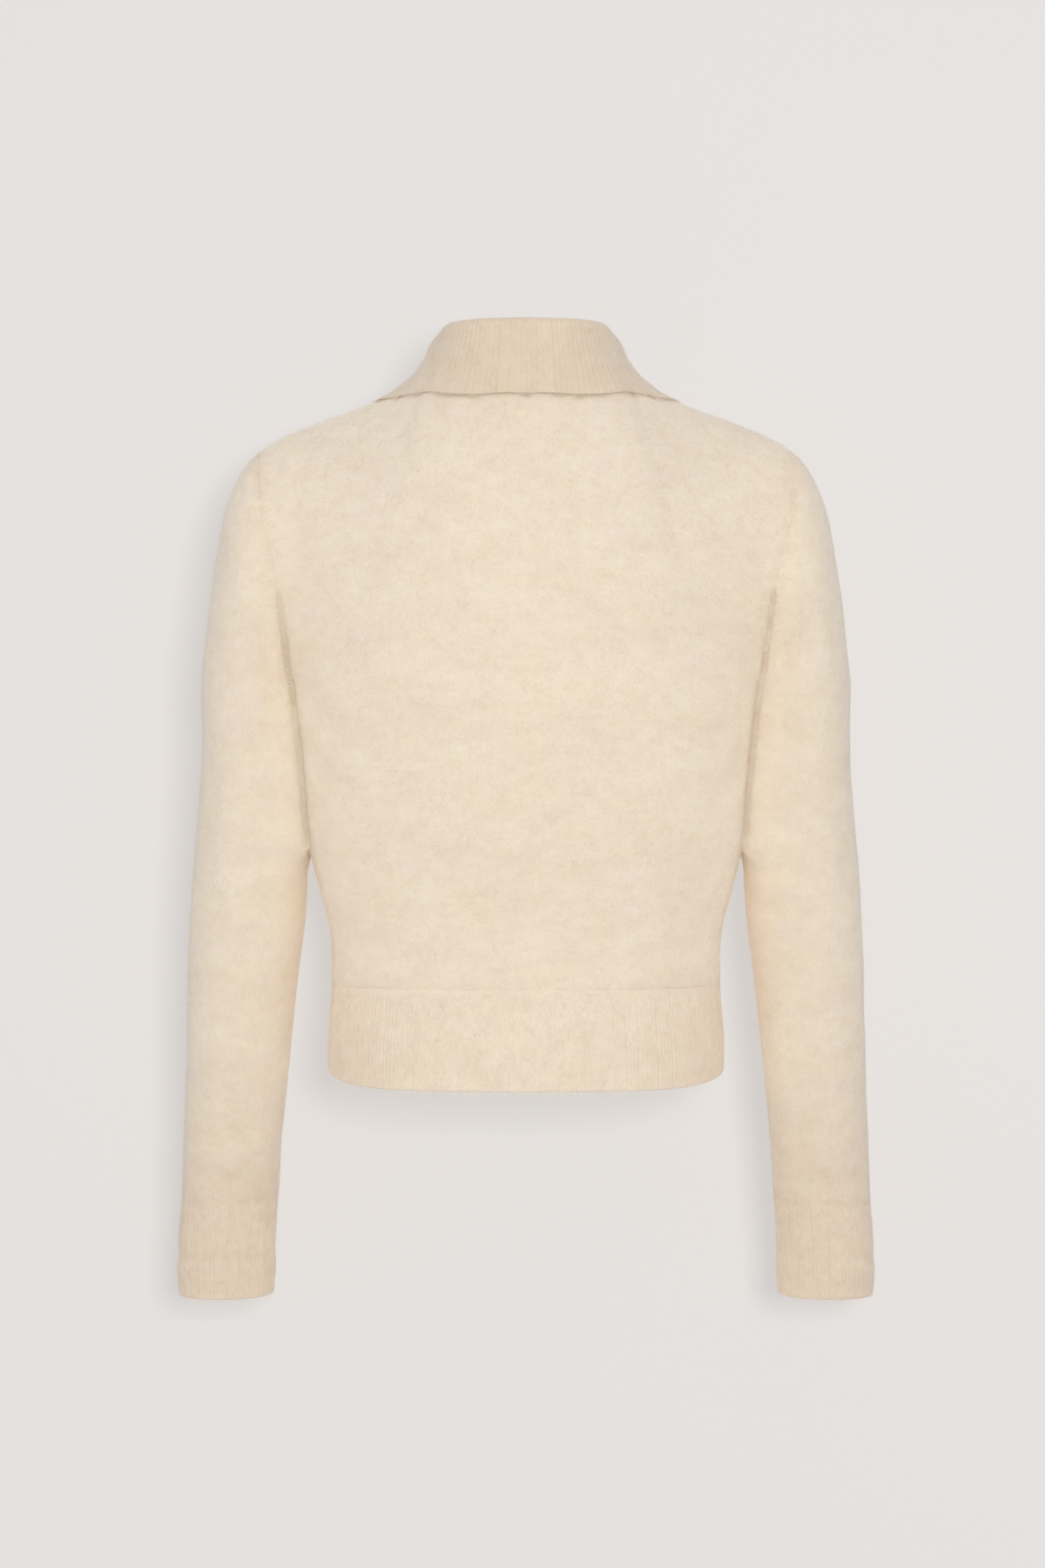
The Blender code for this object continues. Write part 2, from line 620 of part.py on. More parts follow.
def collar():
    """The folded rib collar: a foot on the neckline, a stand, a roll, and a fall that lies on the body."""
    body = []
    faces = []
    for grid in (back_grid, front_grid):
        start = len(body)
        width = len(grid[0])
        body += [point for row in grid for point in row]
        for cell in corners(grid, False):
            spots = tuple(start + row * width + column for row, column in cell)
            faces.append(spots if grid is front_grid else tuple(reversed(spots)))
    tree = BVHTree.FromPolygons([tuple(point) for point in body], faces)
    # The left half of the neckline, from the centre back round to the foot of the opening
    pairs = back_neck[NECK_STEPS:]
    join = pairs[-1]
    front_half = front_neck[NECK_STEPS:]
    join_side = (join[2] + front_half[-1][2]).normalized()
    front_half[0] = (front_half[0][0], front_half[0][1], front_half[1][2])
    pairs[-1] = (join[0], join[1], join_side)
    pairs += list(reversed(front_half))[1:]
    # Its foot stops short of the centre
    last = pairs[-1]
    before = pairs[-2]
    part = (before[0].x - COLLAR_END_X) / (before[0].x - last[0].x)
    pairs[-1] = tuple(a.lerp(b, part) for a, b in zip(before, last))
    lengths = [0.0]
    for first, second in zip(pairs, pairs[1:]):
        lengths.append(lengths[-1] + (second[0] - first[0]).length)
    total = lengths[-1]
    stations = []
    seats = [0]
    for index in range(len(pairs) - 1):
        steps = 2 * max(round((lengths[index + 1] - lengths[index]) / COLLAR_PITCH), 1)
        for step in range(steps):
            stations.append((index, step / steps))
        seats.append(seats[-1] + steps)
    stations.append((len(pairs) - 2, 1.0))
    anchors = [seats[-1] - seat for seat in reversed(seats[1:])] + [seats[-1] + seat for seat in seats]
    columns = []
    backs = []
    lift = COLLAR_CLEAR + RIB_WALL
    for index, part in stations:
        outer_foot = pairs[index][0].lerp(pairs[index + 1][0], part)
        inner_foot = pairs[index][1].lerp(pairs[index + 1][1], part)
        side = pairs[index][2].lerp(pairs[index + 1][2], part).normalized()
        up = (outer_foot - inner_foot).normalized()
        share = (lengths[index] + part * (lengths[index + 1] - lengths[index])) / total
        fold = outer_foot + up * value(COLLAR, "share", "off_body", share)
        fold += side * value(COLLAR, "share", "in_neck", share)
        edge = Vector([value(COLLAR, "share", "edge_" + axis, share) for axis in "xyz"])
        foot = inner_foot + side * FOOT_GAP
        rise = (fold - foot).normalized()
        over = edge - fold
        over = (over - rise * over.dot(rise)).normalized()
        centre = fold - rise * ROLL_RADIUS
        roll = []
        for turn in ROLL_TURNS:
            angle = math.radians(turn)
            roll.append(centre + over * ROLL_RADIUS * math.sin(angle) + rise * ROLL_RADIUS * math.cos(angle))
        stand = foot.lerp(roll[0], 0.5) - over * (STAND_BOW + FRONT_BOW * min(share / 0.5, 1.0))
        spot, unit, _, _ = tree.find_nearest(edge)
        edge = spot + unit * lift
        chord = (edge - roll[-1]).normalized()
        into = -over - rise
        into = (into - chord * into.dot(chord)).normalized()
        sag = value(COLLAR, "share", "sag", share)
        fall = roll[2:]
        for way in FALL_WAYS:
            fall.append(roll[-1].lerp(edge, way) + into * (sag * 4 * way * (1 - way)))
        fall.append(edge)
        for place, guess in enumerate(fall):
            spot, unit, _, _ = tree.find_nearest(guess)
            short = lift - (guess - spot).dot(unit)
            if short > 0:
                fall[place] = guess + unit * short
        columns.append([foot, stand] + roll[:2] + fall)
        backs.append(outer_foot + side * FOOT_GAP)
    rows = [[column[row] for column in columns] for row in range(len(columns[0]))]
    rows = [[Vector((-point.x, point.y, point.z)) for point in reversed(row[1:])] + row for row in rows]
    feet = [Vector((-point.x, point.y, point.z)) for point in reversed(backs[1:])] + backs
    store = {}
    add_normals(store, rows, False, 1)
    outer = []
    inner = []
    for row, line in enumerate(rows):
        outer_row = []
        inner_row = []
        for column, point in enumerate(line):
            unit, _ = normal_at(store, point)
            dip = RIB_RELIEF if column % 2 and row else 0.0
            outer_row.append(point - unit * dip)
            if column in anchors:
                inner_row.append(feet[column] if row == 0 else point - unit * RIB_WALL)
        outer.append(outer_row)
        inner.append(inner_row)
    solid("collar", outer, inner, False, 1, anchors, RIB_CREAM)


collar()
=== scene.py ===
"""Looks of a cropped polo sweater in brushed knit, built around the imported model.

Metres, +Z up. The front faces -Y and the wearer's left is at +X. Each piece of cloth is a closed wall on the
surface of its solid, with finer ribs, soft creases, linked seams and a nap of loose fibres.
"""

import math
from collections import namedtuple

import bpy
import numpy as np
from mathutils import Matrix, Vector
from mathutils.bvhtree import BVHTree


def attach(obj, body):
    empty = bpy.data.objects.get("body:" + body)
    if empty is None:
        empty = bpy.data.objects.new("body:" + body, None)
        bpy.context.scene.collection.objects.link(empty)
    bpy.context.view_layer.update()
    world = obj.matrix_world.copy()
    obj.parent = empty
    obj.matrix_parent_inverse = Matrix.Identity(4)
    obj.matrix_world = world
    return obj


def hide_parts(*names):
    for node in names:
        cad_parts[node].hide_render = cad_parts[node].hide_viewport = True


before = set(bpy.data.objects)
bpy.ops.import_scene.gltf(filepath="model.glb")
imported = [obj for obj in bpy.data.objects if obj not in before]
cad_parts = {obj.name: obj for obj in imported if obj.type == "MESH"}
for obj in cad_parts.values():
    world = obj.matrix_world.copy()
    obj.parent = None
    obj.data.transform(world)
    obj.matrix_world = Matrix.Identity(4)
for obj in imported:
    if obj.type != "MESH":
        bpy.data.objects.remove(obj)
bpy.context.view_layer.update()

# Cloth
WALL = 0.0026  # plain knit
RIB_WALL = 0.0030  # rib knit, over the top of a rib
COLLAR_CLEAR = 0.0030  # from the body to the underside of the collar that lies on it
TOUCH_GAP = 0.0003  # between the sleeve and the body where they touch
TOUCH_MOST = 0.022  # the most that the sleeve is moved to touch the body
SEAM_SINK = 0.00045  # of the stitches between two panels
RIB_SEAM_SINK = 0.00022  # of the stitches between a panel and its rib
STITCH_HALF_LENGTH = (0.0009, 0.0012)
NAP_HALF_WIDTH = (0.00004, 0.00007)  # of a fibre
TANGLE_HALF_WIDTH = (0.00005, 0.00009)  # of a fibre from the body to the sleeve

# Heights and shares, as in the solids
HEM_BOTTOM_Z = -0.529
HEM_TOP_Z = -0.456
UNDERARM_Z = -0.235
SHOULDER_TIP_Z = -0.058
ARMHOLE_HALF_DEPTH = 0.056
ARMHOLE_MID_Z = (UNDERARM_Z + SHOULDER_TIP_Z) / 2
ARMHOLE_HALF_HEIGHT = (SHOULDER_TIP_Z - UNDERARM_Z) / 2
TORSO_POWER = 2.5
SLEEVE_POWER = 2.2
NECK_STEPS = 9
SHOULDER_STEPS = 6
HALF_STEPS = NECK_STEPS + SHOULDER_STEPS
SIDE_STEPS = 6
ARMHOLE_STEPS = 10
BEND_COLUMNS = 6
TOUCH_LOW_Z = -0.370  # about where the sleeve stops touching the body
HEM_RIBS = 132  # on each half
HEM_STEPS = 24
CUFF_RIBS = 80

# Divisions of the finer surfaces
FINE = 6  # columns for each of the solid's
ROW_PITCH = 0.0028  # between rows of plain knit
CUFF_PITCH = 0.0026
COLLAR_PITCH = 0.0032
INNER_STRIDE = 3  # outer cells for each inner one
RIB_COLUMNS = 4  # columns across one rib
SHARP_ANGLE = 62  # degrees, from which an edge isn't smoothed
RIB_LUMPS = np.array([1.0, 1.0, 0.4])  # stretches the ribs' unevenness along them
EVENING_PASSES = 110  # over the bend below the neckline's corner

Bend = namedtuple("Bend", "neck_round neck_flat shoulder_round shoulder_flat")
BACK_BEND = Bend(2.5, 1.6, 3.0, 2.0)
FRONT_BEND = Bend(1.8, 1.0, 2.4, 1.8)

Torso = namedtuple("Torso", "z half_width back front")
TORSO = [Torso(*row) for row in (
    (-0.529, 0.1480, 0.098, 0.100),
    (-0.500, 0.1482, 0.096, 0.099),
    (-0.456, 0.1452, 0.092, 0.098),
    (-0.430, 0.1450, 0.092, 0.100),
    (-0.400, 0.1500, 0.094, 0.105),
    (-0.356, 0.1628, 0.100, 0.114),
    (-0.300, 0.1682, 0.107, 0.123),
    (-0.235, 0.1760, 0.113, 0.127),
    (-0.190, 0.1795, 0.114, 0.124),
    (-0.150, 0.1855, 0.113, 0.118),
    (-0.105, 0.1955, 0.110, 0.107),
    (-0.058, 0.2000, 0.099, 0.091),
)]

Ridge = namedtuple("Ridge", "x z")
SHOULDER = [Ridge(*row) for row in (
    (0.076, 0.0000),
    (0.100, -0.0145),
    (0.126, -0.0255),
    (0.162, -0.0385),
    (0.186, -0.0490),
    (0.200, -0.0580),
)]

Neck = namedtuple("Neck", "share x y z")
BACK_NECK = [Neck(*row) for row in (
    (0.00, 0.000, 0.061, -0.0080),
    (0.25, 0.030, 0.056, -0.0075),
    (0.50, 0.055, 0.040, -0.0050),
    (0.75, 0.070, 0.020, -0.0020),
    (1.00, 0.076, 0.000, 0.0000),
)]
FRONT_NECK = [Neck(*row) for row in (
    (0.00, 0.000, -0.1210, -0.150),
    (0.22, 0.018, -0.1145, -0.114),
    (0.46, 0.038, -0.0980, -0.074),
    (0.72, 0.059, -0.0660, -0.034),
    (0.87, 0.070, -0.0330, -0.013),
    (1.00, 0.076, 0.0000, 0.000),
)]
FRONT_NECK_CROWD = 1.25

Ring = namedtuple("Ring", "out_x out_z in_x in_z mid_y half_depth")
SLEEVE = [Ring(*row) for row in (
    (0.2072, -0.0660, 0.1780, -0.2330, 0.000, 0.0580),
    (0.2152, -0.0785, 0.1797, -0.2342, 0.000, 0.0595),
    (0.2230, -0.0965, 0.1800, -0.2376, 0.000, 0.0605),
    (0.2290, -0.1235, 0.1789, -0.2438, 0.001, 0.0605),
    (0.2340, -0.1560, 0.1773, -0.2516, 0.001, 0.0600),
    (0.2388, -0.1950, 0.1756, -0.2625, 0.002, 0.0585),
    (0.2428, -0.2350, 0.1735, -0.2770, 0.002, 0.0560),
    (0.2420, -0.2720, 0.1709, -0.2965, 0.002, 0.0535),
    (0.2432, -0.3000, 0.1692, -0.3140, 0.001, 0.0515),
    (0.2462, -0.3320, 0.1670, -0.3380, -0.001, 0.0490),
    (0.2495, -0.3680, 0.1645, -0.3700, -0.002, 0.0470),
    (0.2520, -0.4060, 0.1660, -0.4060, -0.004, 0.0455),
    (0.2540, -0.4500, 0.1715, -0.4490, -0.008, 0.0435),
    (0.2555, -0.4940, 0.1763, -0.4920, -0.013, 0.0415),
    (0.2570, -0.5380, 0.1810, -0.5350, -0.018, 0.0395),
    (0.2592, -0.5820, 0.1856, -0.5780, -0.023, 0.0378),
    (0.2612, -0.6220, 0.1882, -0.6180, -0.028, 0.0362),
)]
CUFF = [Ring(*row) for row in (
    (0.2612, -0.6220, 0.1882, -0.6180, -0.0280, 0.0362),
    (0.2630, -0.6420, 0.1898, -0.6380, -0.0305, 0.0358),
    (0.2640, -0.6560, 0.1906, -0.6520, -0.0320, 0.0356),
    (0.2642, -0.6642, 0.1908, -0.6608, -0.0328, 0.0353),
    (0.2650, -0.6722, 0.1905, -0.6696, -0.0338, 0.0356),
    (0.2640, -0.6953, 0.1925, -0.6946, -0.0365, 0.0348),
)]

Collar = namedtuple("Collar", "share off_body in_neck sag edge_x edge_y edge_z")
COLLAR = [Collar(*row) for row in (
    (0.00, 0.0350, 0.0240, 0.0000, 0.0000, 0.085, -0.0154),
    (0.11, 0.0348, 0.0228, 0.0008, 0.0480, 0.078, -0.0144),
    (0.20, 0.0296, 0.0240, 0.0036, 0.0860, 0.046, -0.0153),
    (0.27, 0.0188, 0.0262, 0.0058, 0.1050, 0.022, -0.0153),
    (0.33, 0.0128, 0.0190, 0.0056, 0.1140, 0.001, -0.0158),
    (0.38, 0.0116, 0.0115, 0.0025, 0.1215, -0.025, -0.0300),
    (0.45, 0.0112, 0.0065, 0.0005, 0.1245, -0.045, -0.0440),
    (0.56, 0.0120, 0.0040, 0.0000, 0.1240, -0.070, -0.0700),
    (0.72, 0.0120, 0.0022, 0.0000, 0.1120, -0.095, -0.1100),
    (0.87, 0.0120, 0.0005, 0.0000, 0.0970, -0.108, -0.1450),
    (1.00, 0.0118, -0.0010, 0.0000, 0.0810, -0.116, -0.1730),
)]
HEM_DRAW = 0.0085  # how far the hem's edge rises at the side seams
HEM_DRAW_REACH = 0.090
CUFF_FOLD = 0.0436  # from the top of the cuff to the soft fold round it
COLLAR_END_X = 0.0072
ROLL_RADIUS = 0.0048
FOOT_GAP = 0.00025
STAND_BOW = 0.0008
EDGE_CLEAR = 0.0002  # from the body to the collar's free edge
EDGE_WALL = 0.0010  # the collar's wall at its free edge
FRONT_BOW = 0.0020
COLLAR_RIB = 0.0034  # a rib and a valley, along the neckline

# Soft troughs in the cloth: a line from one point to another, how deep, and how far the trough reaches.
Crease = namedtuple("Crease", "x0 y0 z0 x1 y1 z1 depth reach")
BACK_CREASES = [Crease(*row) for row in (
    (0.168, 0.055, -0.240, 0.098, 0.110, -0.305, 0.0015, 0.011),
    (0.166, 0.050, -0.275, 0.122, 0.095, -0.345, 0.0011, 0.009),
    (-0.167, 0.055, -0.248, -0.104, 0.110, -0.298, 0.0013, 0.012),
    (-0.164, 0.050, -0.290, -0.128, 0.090, -0.352, 0.0009, 0.009),
    (0.166, 0.075, -0.105, 0.118, 0.110, -0.165, 0.0009, 0.014),
    (-0.170, 0.075, -0.112, -0.125, 0.110, -0.160, 0.0008, 0.013),
    (0.132, 0.050, -0.422, 0.048, 0.092, -0.436, 0.0010, 0.009),
    (-0.126, 0.052, -0.428, -0.060, 0.092, -0.438, 0.0009, 0.008),
    (0.030, 0.098, -0.395, -0.030, 0.098, -0.402, 0.0006, 0.010),
)]
FRONT_CREASES = [Crease(*row) for row in (
    (0.168, -0.055, -0.244, 0.104, -0.118, -0.300, 0.0015, 0.012),
    (0.164, -0.055, -0.284, 0.118, -0.105, -0.350, 0.0010, 0.010),
    (-0.168, -0.055, -0.240, -0.098, -0.118, -0.306, 0.0016, 0.011),
    (-0.165, -0.055, -0.278, -0.124, -0.105, -0.340, 0.0011, 0.009),
    (0.018, -0.124, -0.168, 0.052, -0.126, -0.236, 0.0007, 0.011),
    (-0.014, -0.124, -0.172, -0.046, -0.126, -0.228, 0.0006, 0.010),
    (0.128, -0.060, -0.424, 0.050, -0.100, -0.437, 0.0010, 0.009),
    (-0.130, -0.058, -0.421, -0.055, -0.100, -0.435, 0.0010, 0.009),
)]
LEFT_CREASES = [Crease(*row) for row in (
    (0.176, 0.030, -0.250, 0.196, 0.058, -0.205, 0.0013, 0.010),
    (0.178, -0.030, -0.252, 0.200, -0.058, -0.200, 0.0014, 0.010),
    (0.168, 0.020, -0.352, 0.214, 0.046, -0.372, 0.0014, 0.009),
    (0.168, 0.022, -0.386, 0.208, 0.044, -0.392, 0.0010, 0.008),
    (0.166, -0.028, -0.346, 0.216, -0.048, -0.362, 0.0016, 0.009),
    (0.168, -0.030, -0.380, 0.224, -0.048, -0.402, 0.0013, 0.010),
    (0.186, 0.030, -0.470, 0.232, 0.030, -0.486, 0.0008, 0.010),
    (0.190, 0.012, -0.560, 0.236, 0.016, -0.572, 0.0009, 0.009),
    (0.188, -0.052, -0.566, 0.240, -0.052, -0.560, 0.0009, 0.010),
    (0.196, 0.010, -0.604, 0.250, 0.006, -0.598, 0.0010, 0.007),
    (0.196, -0.062, -0.602, 0.246, -0.058, -0.606, 0.0009, 0.008),
    (0.232, 0.040, -0.130, 0.240, 0.052, -0.190, 0.0007, 0.012),
)]
RIGHT_CREASES = [Crease(*row) for row in (
    (-0.177, 0.032, -0.252, -0.199, 0.058, -0.198, 0.0012, 0.011),
    (-0.177, -0.030, -0.250, -0.196, -0.058, -0.204, 0.0014, 0.010),
    (-0.168, 0.022, -0.358, -0.210, 0.046, -0.368, 0.0012, 0.010),
    (-0.168, 0.020, -0.394, -0.214, 0.043, -0.404, 0.0011, 0.008),
    (-0.166, -0.028, -0.350, -0.220, -0.048, -0.370, 0.0015, 0.009),
    (-0.168, -0.030, -0.392, -0.218, -0.048, -0.398, 0.0011, 0.009),
    (-0.188, 0.028, -0.492, -0.236, 0.028, -0.478, 0.0008, 0.011),
    (-0.192, 0.012, -0.566, -0.240, 0.014, -0.560, 0.0008, 0.009),
    (-0.190, -0.052, -0.556, -0.238, -0.052, -0.568, 0.0010, 0.009),
    (-0.200, 0.008, -0.606, -0.248, 0.008, -0.602, 0.0009, 0.007),
    (-0.192, -0.060, -0.600, -0.246, -0.060, -0.607, 0.0010, 0.008),
    (-0.233, 0.040, -0.140, -0.240, 0.052, -0.200, 0.0007, 0.012),
)]


def column(table, knob, name, at):
    """A named column at places on its knob column, on a smooth curve through the rows."""
    knots = np.array([getattr(row, knob) for row in table])
    levels = np.array([getattr(row, name) for row in table])
    slopes = np.empty(len(table))
    slopes[1:-1] = (levels[2:] - levels[:-2]) / (knots[2:] - knots[:-2])
    slopes[0] = (levels[1] - levels[0]) / (knots[1] - knots[0])
    slopes[-1] = (levels[-1] - levels[-2]) / (knots[-1] - knots[-2])
    at = np.asarray(at, float)
    row = np.clip(np.searchsorted(knots, at) - 1, 0, len(table) - 2)
    span = knots[row + 1] - knots[row]
    part = np.clip((at - knots[row]) / span, 0.0, 1.0)
    square = part * part
    cube = square * part
    return (levels[row] * (2 * cube - 3 * square + 1) + slopes[row] * span * (cube - 2 * square + part)
            + levels[row + 1] * (3 * square - 2 * cube) + slopes[row + 1] * span * (cube - square))


def unit(vectors):
    return vectors / np.maximum(np.linalg.norm(vectors, axis=-1, keepdims=True), 1e-12)


def square_to(vectors, axis):
    """The unit directions of vectors, made square to an axis."""
    return unit(vectors - axis * np.sum(vectors * axis, -1, keepdims=True))


def smoothstep(part):
    part = np.clip(part, 0.0, 1.0)
    return part * part * (3.0 - 2.0 * part)


def step_lengths(line, axis=0):
    return np.linalg.norm(np.diff(line, axis=axis), axis=-1)


def runs(line, axis=0):
    """How far along a line, or along one axis of a grid, each point is."""
    steps = np.cumsum(step_lengths(line, axis), axis)
    return np.concatenate([np.zeros_like(np.take(steps, [0], axis)), steps], axis)


def mean_runs(grid):
    """How far up a grid each row is, on average."""
    return np.concatenate([[0.0], np.cumsum(step_lengths(grid).mean(1))])


def along_line(at, knots, line):
    """Points or vectors at places between the knots of a line."""
    return np.stack([np.interp(at, knots, line[:, axis]) for axis in range(3)], -1)


NO_FLIP = np.array([1.0, 1.0, 1.0])
FLIP = np.array([-1.0, 1.0, 1.0])


def both_halves(left):
    """A line or grid from -X to +X, from its left half, which starts on the middle plane."""
    return np.concatenate([left[..., :0:-1, :] * FLIP, left], -2)


def closed(line):
    """A line or grid round a sleeve, with its first points again at its end."""
    return np.concatenate([line, line[..., :1, :]], -2)


QUARTER = np.radians(np.linspace(0.0, 90.0, 721))


def half_section(facing, height, shares):
    """Points of the body's left half at a height, at shares of the arc from the middle to the side seam."""
    x = column(TORSO, "z", "half_width", height) * np.sin(QUARTER) ** (2 / TORSO_POWER)
    depth = column(TORSO, "z", "back" if facing > 0 else "front", height)
    y = depth * np.maximum(np.cos(QUARTER), 0.0) ** (2 / TORSO_POWER)
    y[-1] = 0.0
    run = np.concatenate([[0.0], np.cumsum(np.hypot(np.diff(x), np.diff(y)))])
    goal = shares * run[-1]
    x = np.interp(goal, run, x)
    return np.stack([x, facing * np.interp(goal, run, y), np.full_like(x, height)], -1)


def armhole(phase, facing):
    """Points of the left armhole seam, phase 0 at the underarm and 1 at the shoulder tip."""
    phase = np.asarray(phase, float)
    height = ARMHOLE_MID_Z - ARMHOLE_HALF_HEIGHT * np.cos(math.pi * phase)
    return np.stack([column(TORSO, "z", "half_width", height),
                     facing * ARMHOLE_HALF_DEPTH * np.sin(math.pi * phase), height], -1)


def panel_rows(facing, fine):
    """The solid's rows of the left half of the back (facing 1) or front (-1), each column parted in fine."""
    neck = BACK_NECK if facing > 0 else FRONT_NECK
    bend = BACK_BEND if facing > 0 else FRONT_BEND
    place = np.arange(HALF_STEPS * fine + 1) / fine
    across = place / HALF_STEPS
    rows = [half_section(facing, height, across)
            for height in np.linspace(HEM_TOP_Z, UNDERARM_Z, SIDE_STEPS + 1)]
    low = rows[-1]
    crowd = 1.0 if facing > 0 else FRONT_NECK_CROWD
    share = 1.0 - (1.0 - np.clip(place / NECK_STEPS, 0.0, 1.0)) ** crowd
    high = np.stack([column(neck, "share", axis, share) for axis in "xyz"], -1)
    ridge_x = SHOULDER[0].x + (SHOULDER[-1].x - SHOULDER[0].x) * (place - NECK_STEPS) / SHOULDER_STEPS
    beyond = place > NECK_STEPS
    ridge_z = column(SHOULDER, "x", "z", ridge_x)
    high[beyond] = np.stack([ridge_x, np.zeros_like(ridge_x), ridge_z], -1)[beyond]
    high[0, 0] = 0.0
    high[NECK_STEPS * fine, 1] = 0.0
    to_seam = smoothstep((place - NECK_STEPS + BEND_COLUMNS) / BEND_COLUMNS)
    late = bend.neck_round + (bend.shoulder_round - bend.neck_round) * to_seam
    flat = bend.neck_flat + (bend.shoulder_flat - bend.neck_flat) * to_seam
    for step in range(1, ARMHOLE_STEPS):
        phase = step / ARMHOLE_STEPS
        edge = armhole(phase, facing)
        rise_edge = (edge[2] - UNDERARM_Z) / (SHOULDER_TIP_Z - UNDERARM_Z)
        straight_x = low[-1, 0] + (high[-1, 0] - low[-1, 0]) * rise_edge
        lift = phase + (rise_edge - phase) * across ** 2
        keep = (1.0 - lift ** late) ** (1.0 / flat)
        row = np.stack([low[:, 0] + (high[:, 0] - low[:, 0]) * lift + across ** 2 * (edge[0] - straight_x),
                        high[:, 1] + (low[:, 1] - high[:, 1]) * keep + across ** 4 * edge[1],
                        low[:, 2] + (high[:, 2] - low[:, 2]) * lift], -1)
        row[-1] = edge
        rows.append(row)
    rows.append(high)
    return np.array(rows)


def refine(rows, counts, start=None, end=None):
    """Rows (rows x columns x 3) with counts[i] steps from row i to the next, on smooth curves through them.

    start and end are the slopes at the first and last row, where those aren't left free.
    """
    spans = np.maximum(np.linalg.norm(np.diff(rows, axis=0), axis=-1, keepdims=True), 1e-7)
    chords = np.diff(rows, axis=0) / spans
    slopes = np.empty_like(rows)
    slopes[1:-1] = (chords[:-1] * spans[1:] + chords[1:] * spans[:-1]) / (spans[:-1] + spans[1:])
    slopes[0] = chords[0] if start is None else start
    slopes[-1] = chords[-1] if end is None else end
    made = []
    for index, count in enumerate(counts):
        for step in range(count):
            part = step / count
            square = part * part
            cube = square * part
            made.append(rows[index] * (2 * cube - 3 * square + 1)
                        + slopes[index] * spans[index] * (cube - 2 * square + part)
                        + rows[index + 1] * (3 * square - 2 * cube)
                        + slopes[index + 1] * spans[index] * (cube - square))
    made.append(rows[-1])
    return np.array(made)


def row_counts(rows, pitch):
    """How many steps, each about pitch long, there are from each row to the next."""
    return [max(int(math.ceil(np.quantile(line, 0.75) / pitch)), 1) for line in step_lengths(rows)]


def panel(facing):
    """Fine outer points of the back or front, rows from the hem rib up, columns from -X."""
    rows = panel_rows(facing, FINE)
    other = panel_rows(-facing, FINE)
    place = np.arange(rows.shape[1]) / FINE
    # Over the shoulder seam the slope carries on into the other panel, and at the neck it ends free
    here = rows[-1] - rows[-2]
    there = other[-2] - other[-1]
    near = np.linalg.norm(here, axis=-1, keepdims=True)
    far = np.maximum(np.linalg.norm(there, axis=-1, keepdims=True), 1e-7)
    over = (here / near * far + there / far * near) / (near + far)
    seam = smoothstep((place - NECK_STEPS + 3.0) / 3.0)[:, None]
    end = here / near * (1.0 - seam) + over * seam
    counts = row_counts(rows, ROW_PITCH)
    fine = refine(rows, counts, end=end)
    # The armhole edge is the sleeve's, and what it moves by fades out over the columns beside it
    first = sum(counts[:SIDE_STEPS])
    phases = []
    for step, count in enumerate(counts[SIDE_STEPS:]):
        phases += [(step + part / count) / ARMHOLE_STEPS for part in range(count)]
    phases.append(1.0)
    # Evens the bend that runs down from the neckline's corner
    evened = both_halves(fine)
    for _ in range(EVENING_PASSES):
        evened[:, 1:-1] = (evened[:, :-2] + 2 * evened[:, 1:-1] + evened[:, 2:]) / 4
    evened = evened[:, fine.shape[1] - 1:]
    far = runs(fine[::-1])[::-1]
    share = smoothstep(far / 0.040) * (1.0 - smoothstep((place - 9.5) / 4.0))
    fine[..., 1] += (evened[..., 1] - fine[..., 1]) * share
    shift = armhole(np.array(phases), facing) - fine[first:, -1]
    fade = smoothstep((place - HALF_STEPS + 2.0) / 2.0)
    fine[first:] += shift[:, None, :] * fade[None, :, None]
    return both_halves(fine)


def ring_points(place, angles):
    """Points round a ring of the left sleeve, from the underarm by way of the back."""
    out = np.array([place.out_x, place.mid_y, place.out_z])
    inn = np.array([place.in_x, place.mid_y, place.in_z])
    cosine = np.cos(angles)
    sine = np.sin(angles)
    along = np.abs(cosine) ** (2 / SLEEVE_POWER) * np.sign(cosine)
    aside = np.abs(sine) ** (2 / SLEEVE_POWER) * np.sign(sine)
    return (out + inn) / 2 + (inn - out) / 2 * along[:, None] + np.outer(aside, [0.0, place.half_depth, 0.0])


def sleeve():
    """Fine outer points of the left sleeve, rings from the armhole down."""
    count = 2 * ARMHOLE_STEPS * FINE
    phase = np.arange(count) / (count / 2)
    seam = armhole(np.where(phase <= 1.0, phase, 2.0 - phase), 1)
    seam[phase > 1.0, 1] *= -1
    angles = math.tau * np.arange(count) / count
    rows = np.array([seam] + [ring_points(place, angles) for place in SLEEVE])
    return refine(rows, row_counts(rows, ROW_PITCH))


def value_noise(points, scale, seed):
    """Smooth lumps about scale across, from -1 to 1, at points in space."""
    lumps = points / scale
    base = np.floor(lumps).astype(np.int64)
    part = lumps - base
    part = part * part * (3 - 2 * part)
    total = np.zeros(points.shape[:-1])
    for corner in range(8):
        offset = np.array([corner & 1, (corner >> 1) & 1, corner >> 2])
        x, y, z = np.moveaxis(base + offset, -1, 0)
        mixed = (x * 73856093) ^ (y * 19349663) ^ (z * 83492791) ^ (seed * 7919)
        mixed = ((mixed ^ (mixed >> 13)) * 1274126177) & 0x7FFFFFFF
        level = ((mixed ^ (mixed >> 15)) & 0xFFFF) / 32767.5 - 1.0
        total += level * np.prod(np.where(offset, part, 1.0 - part), -1)
    return total


def grid_normals(grid, wrap, turn):
    """Unit normals of a grid from the cells round each point."""
    if wrap:
        across = np.roll(grid, -1, 1) - np.roll(grid, 1, 1)
    else:
        across = np.gradient(grid, axis=1)
    return unit(np.cross(across, np.gradient(grid, axis=0))) * turn


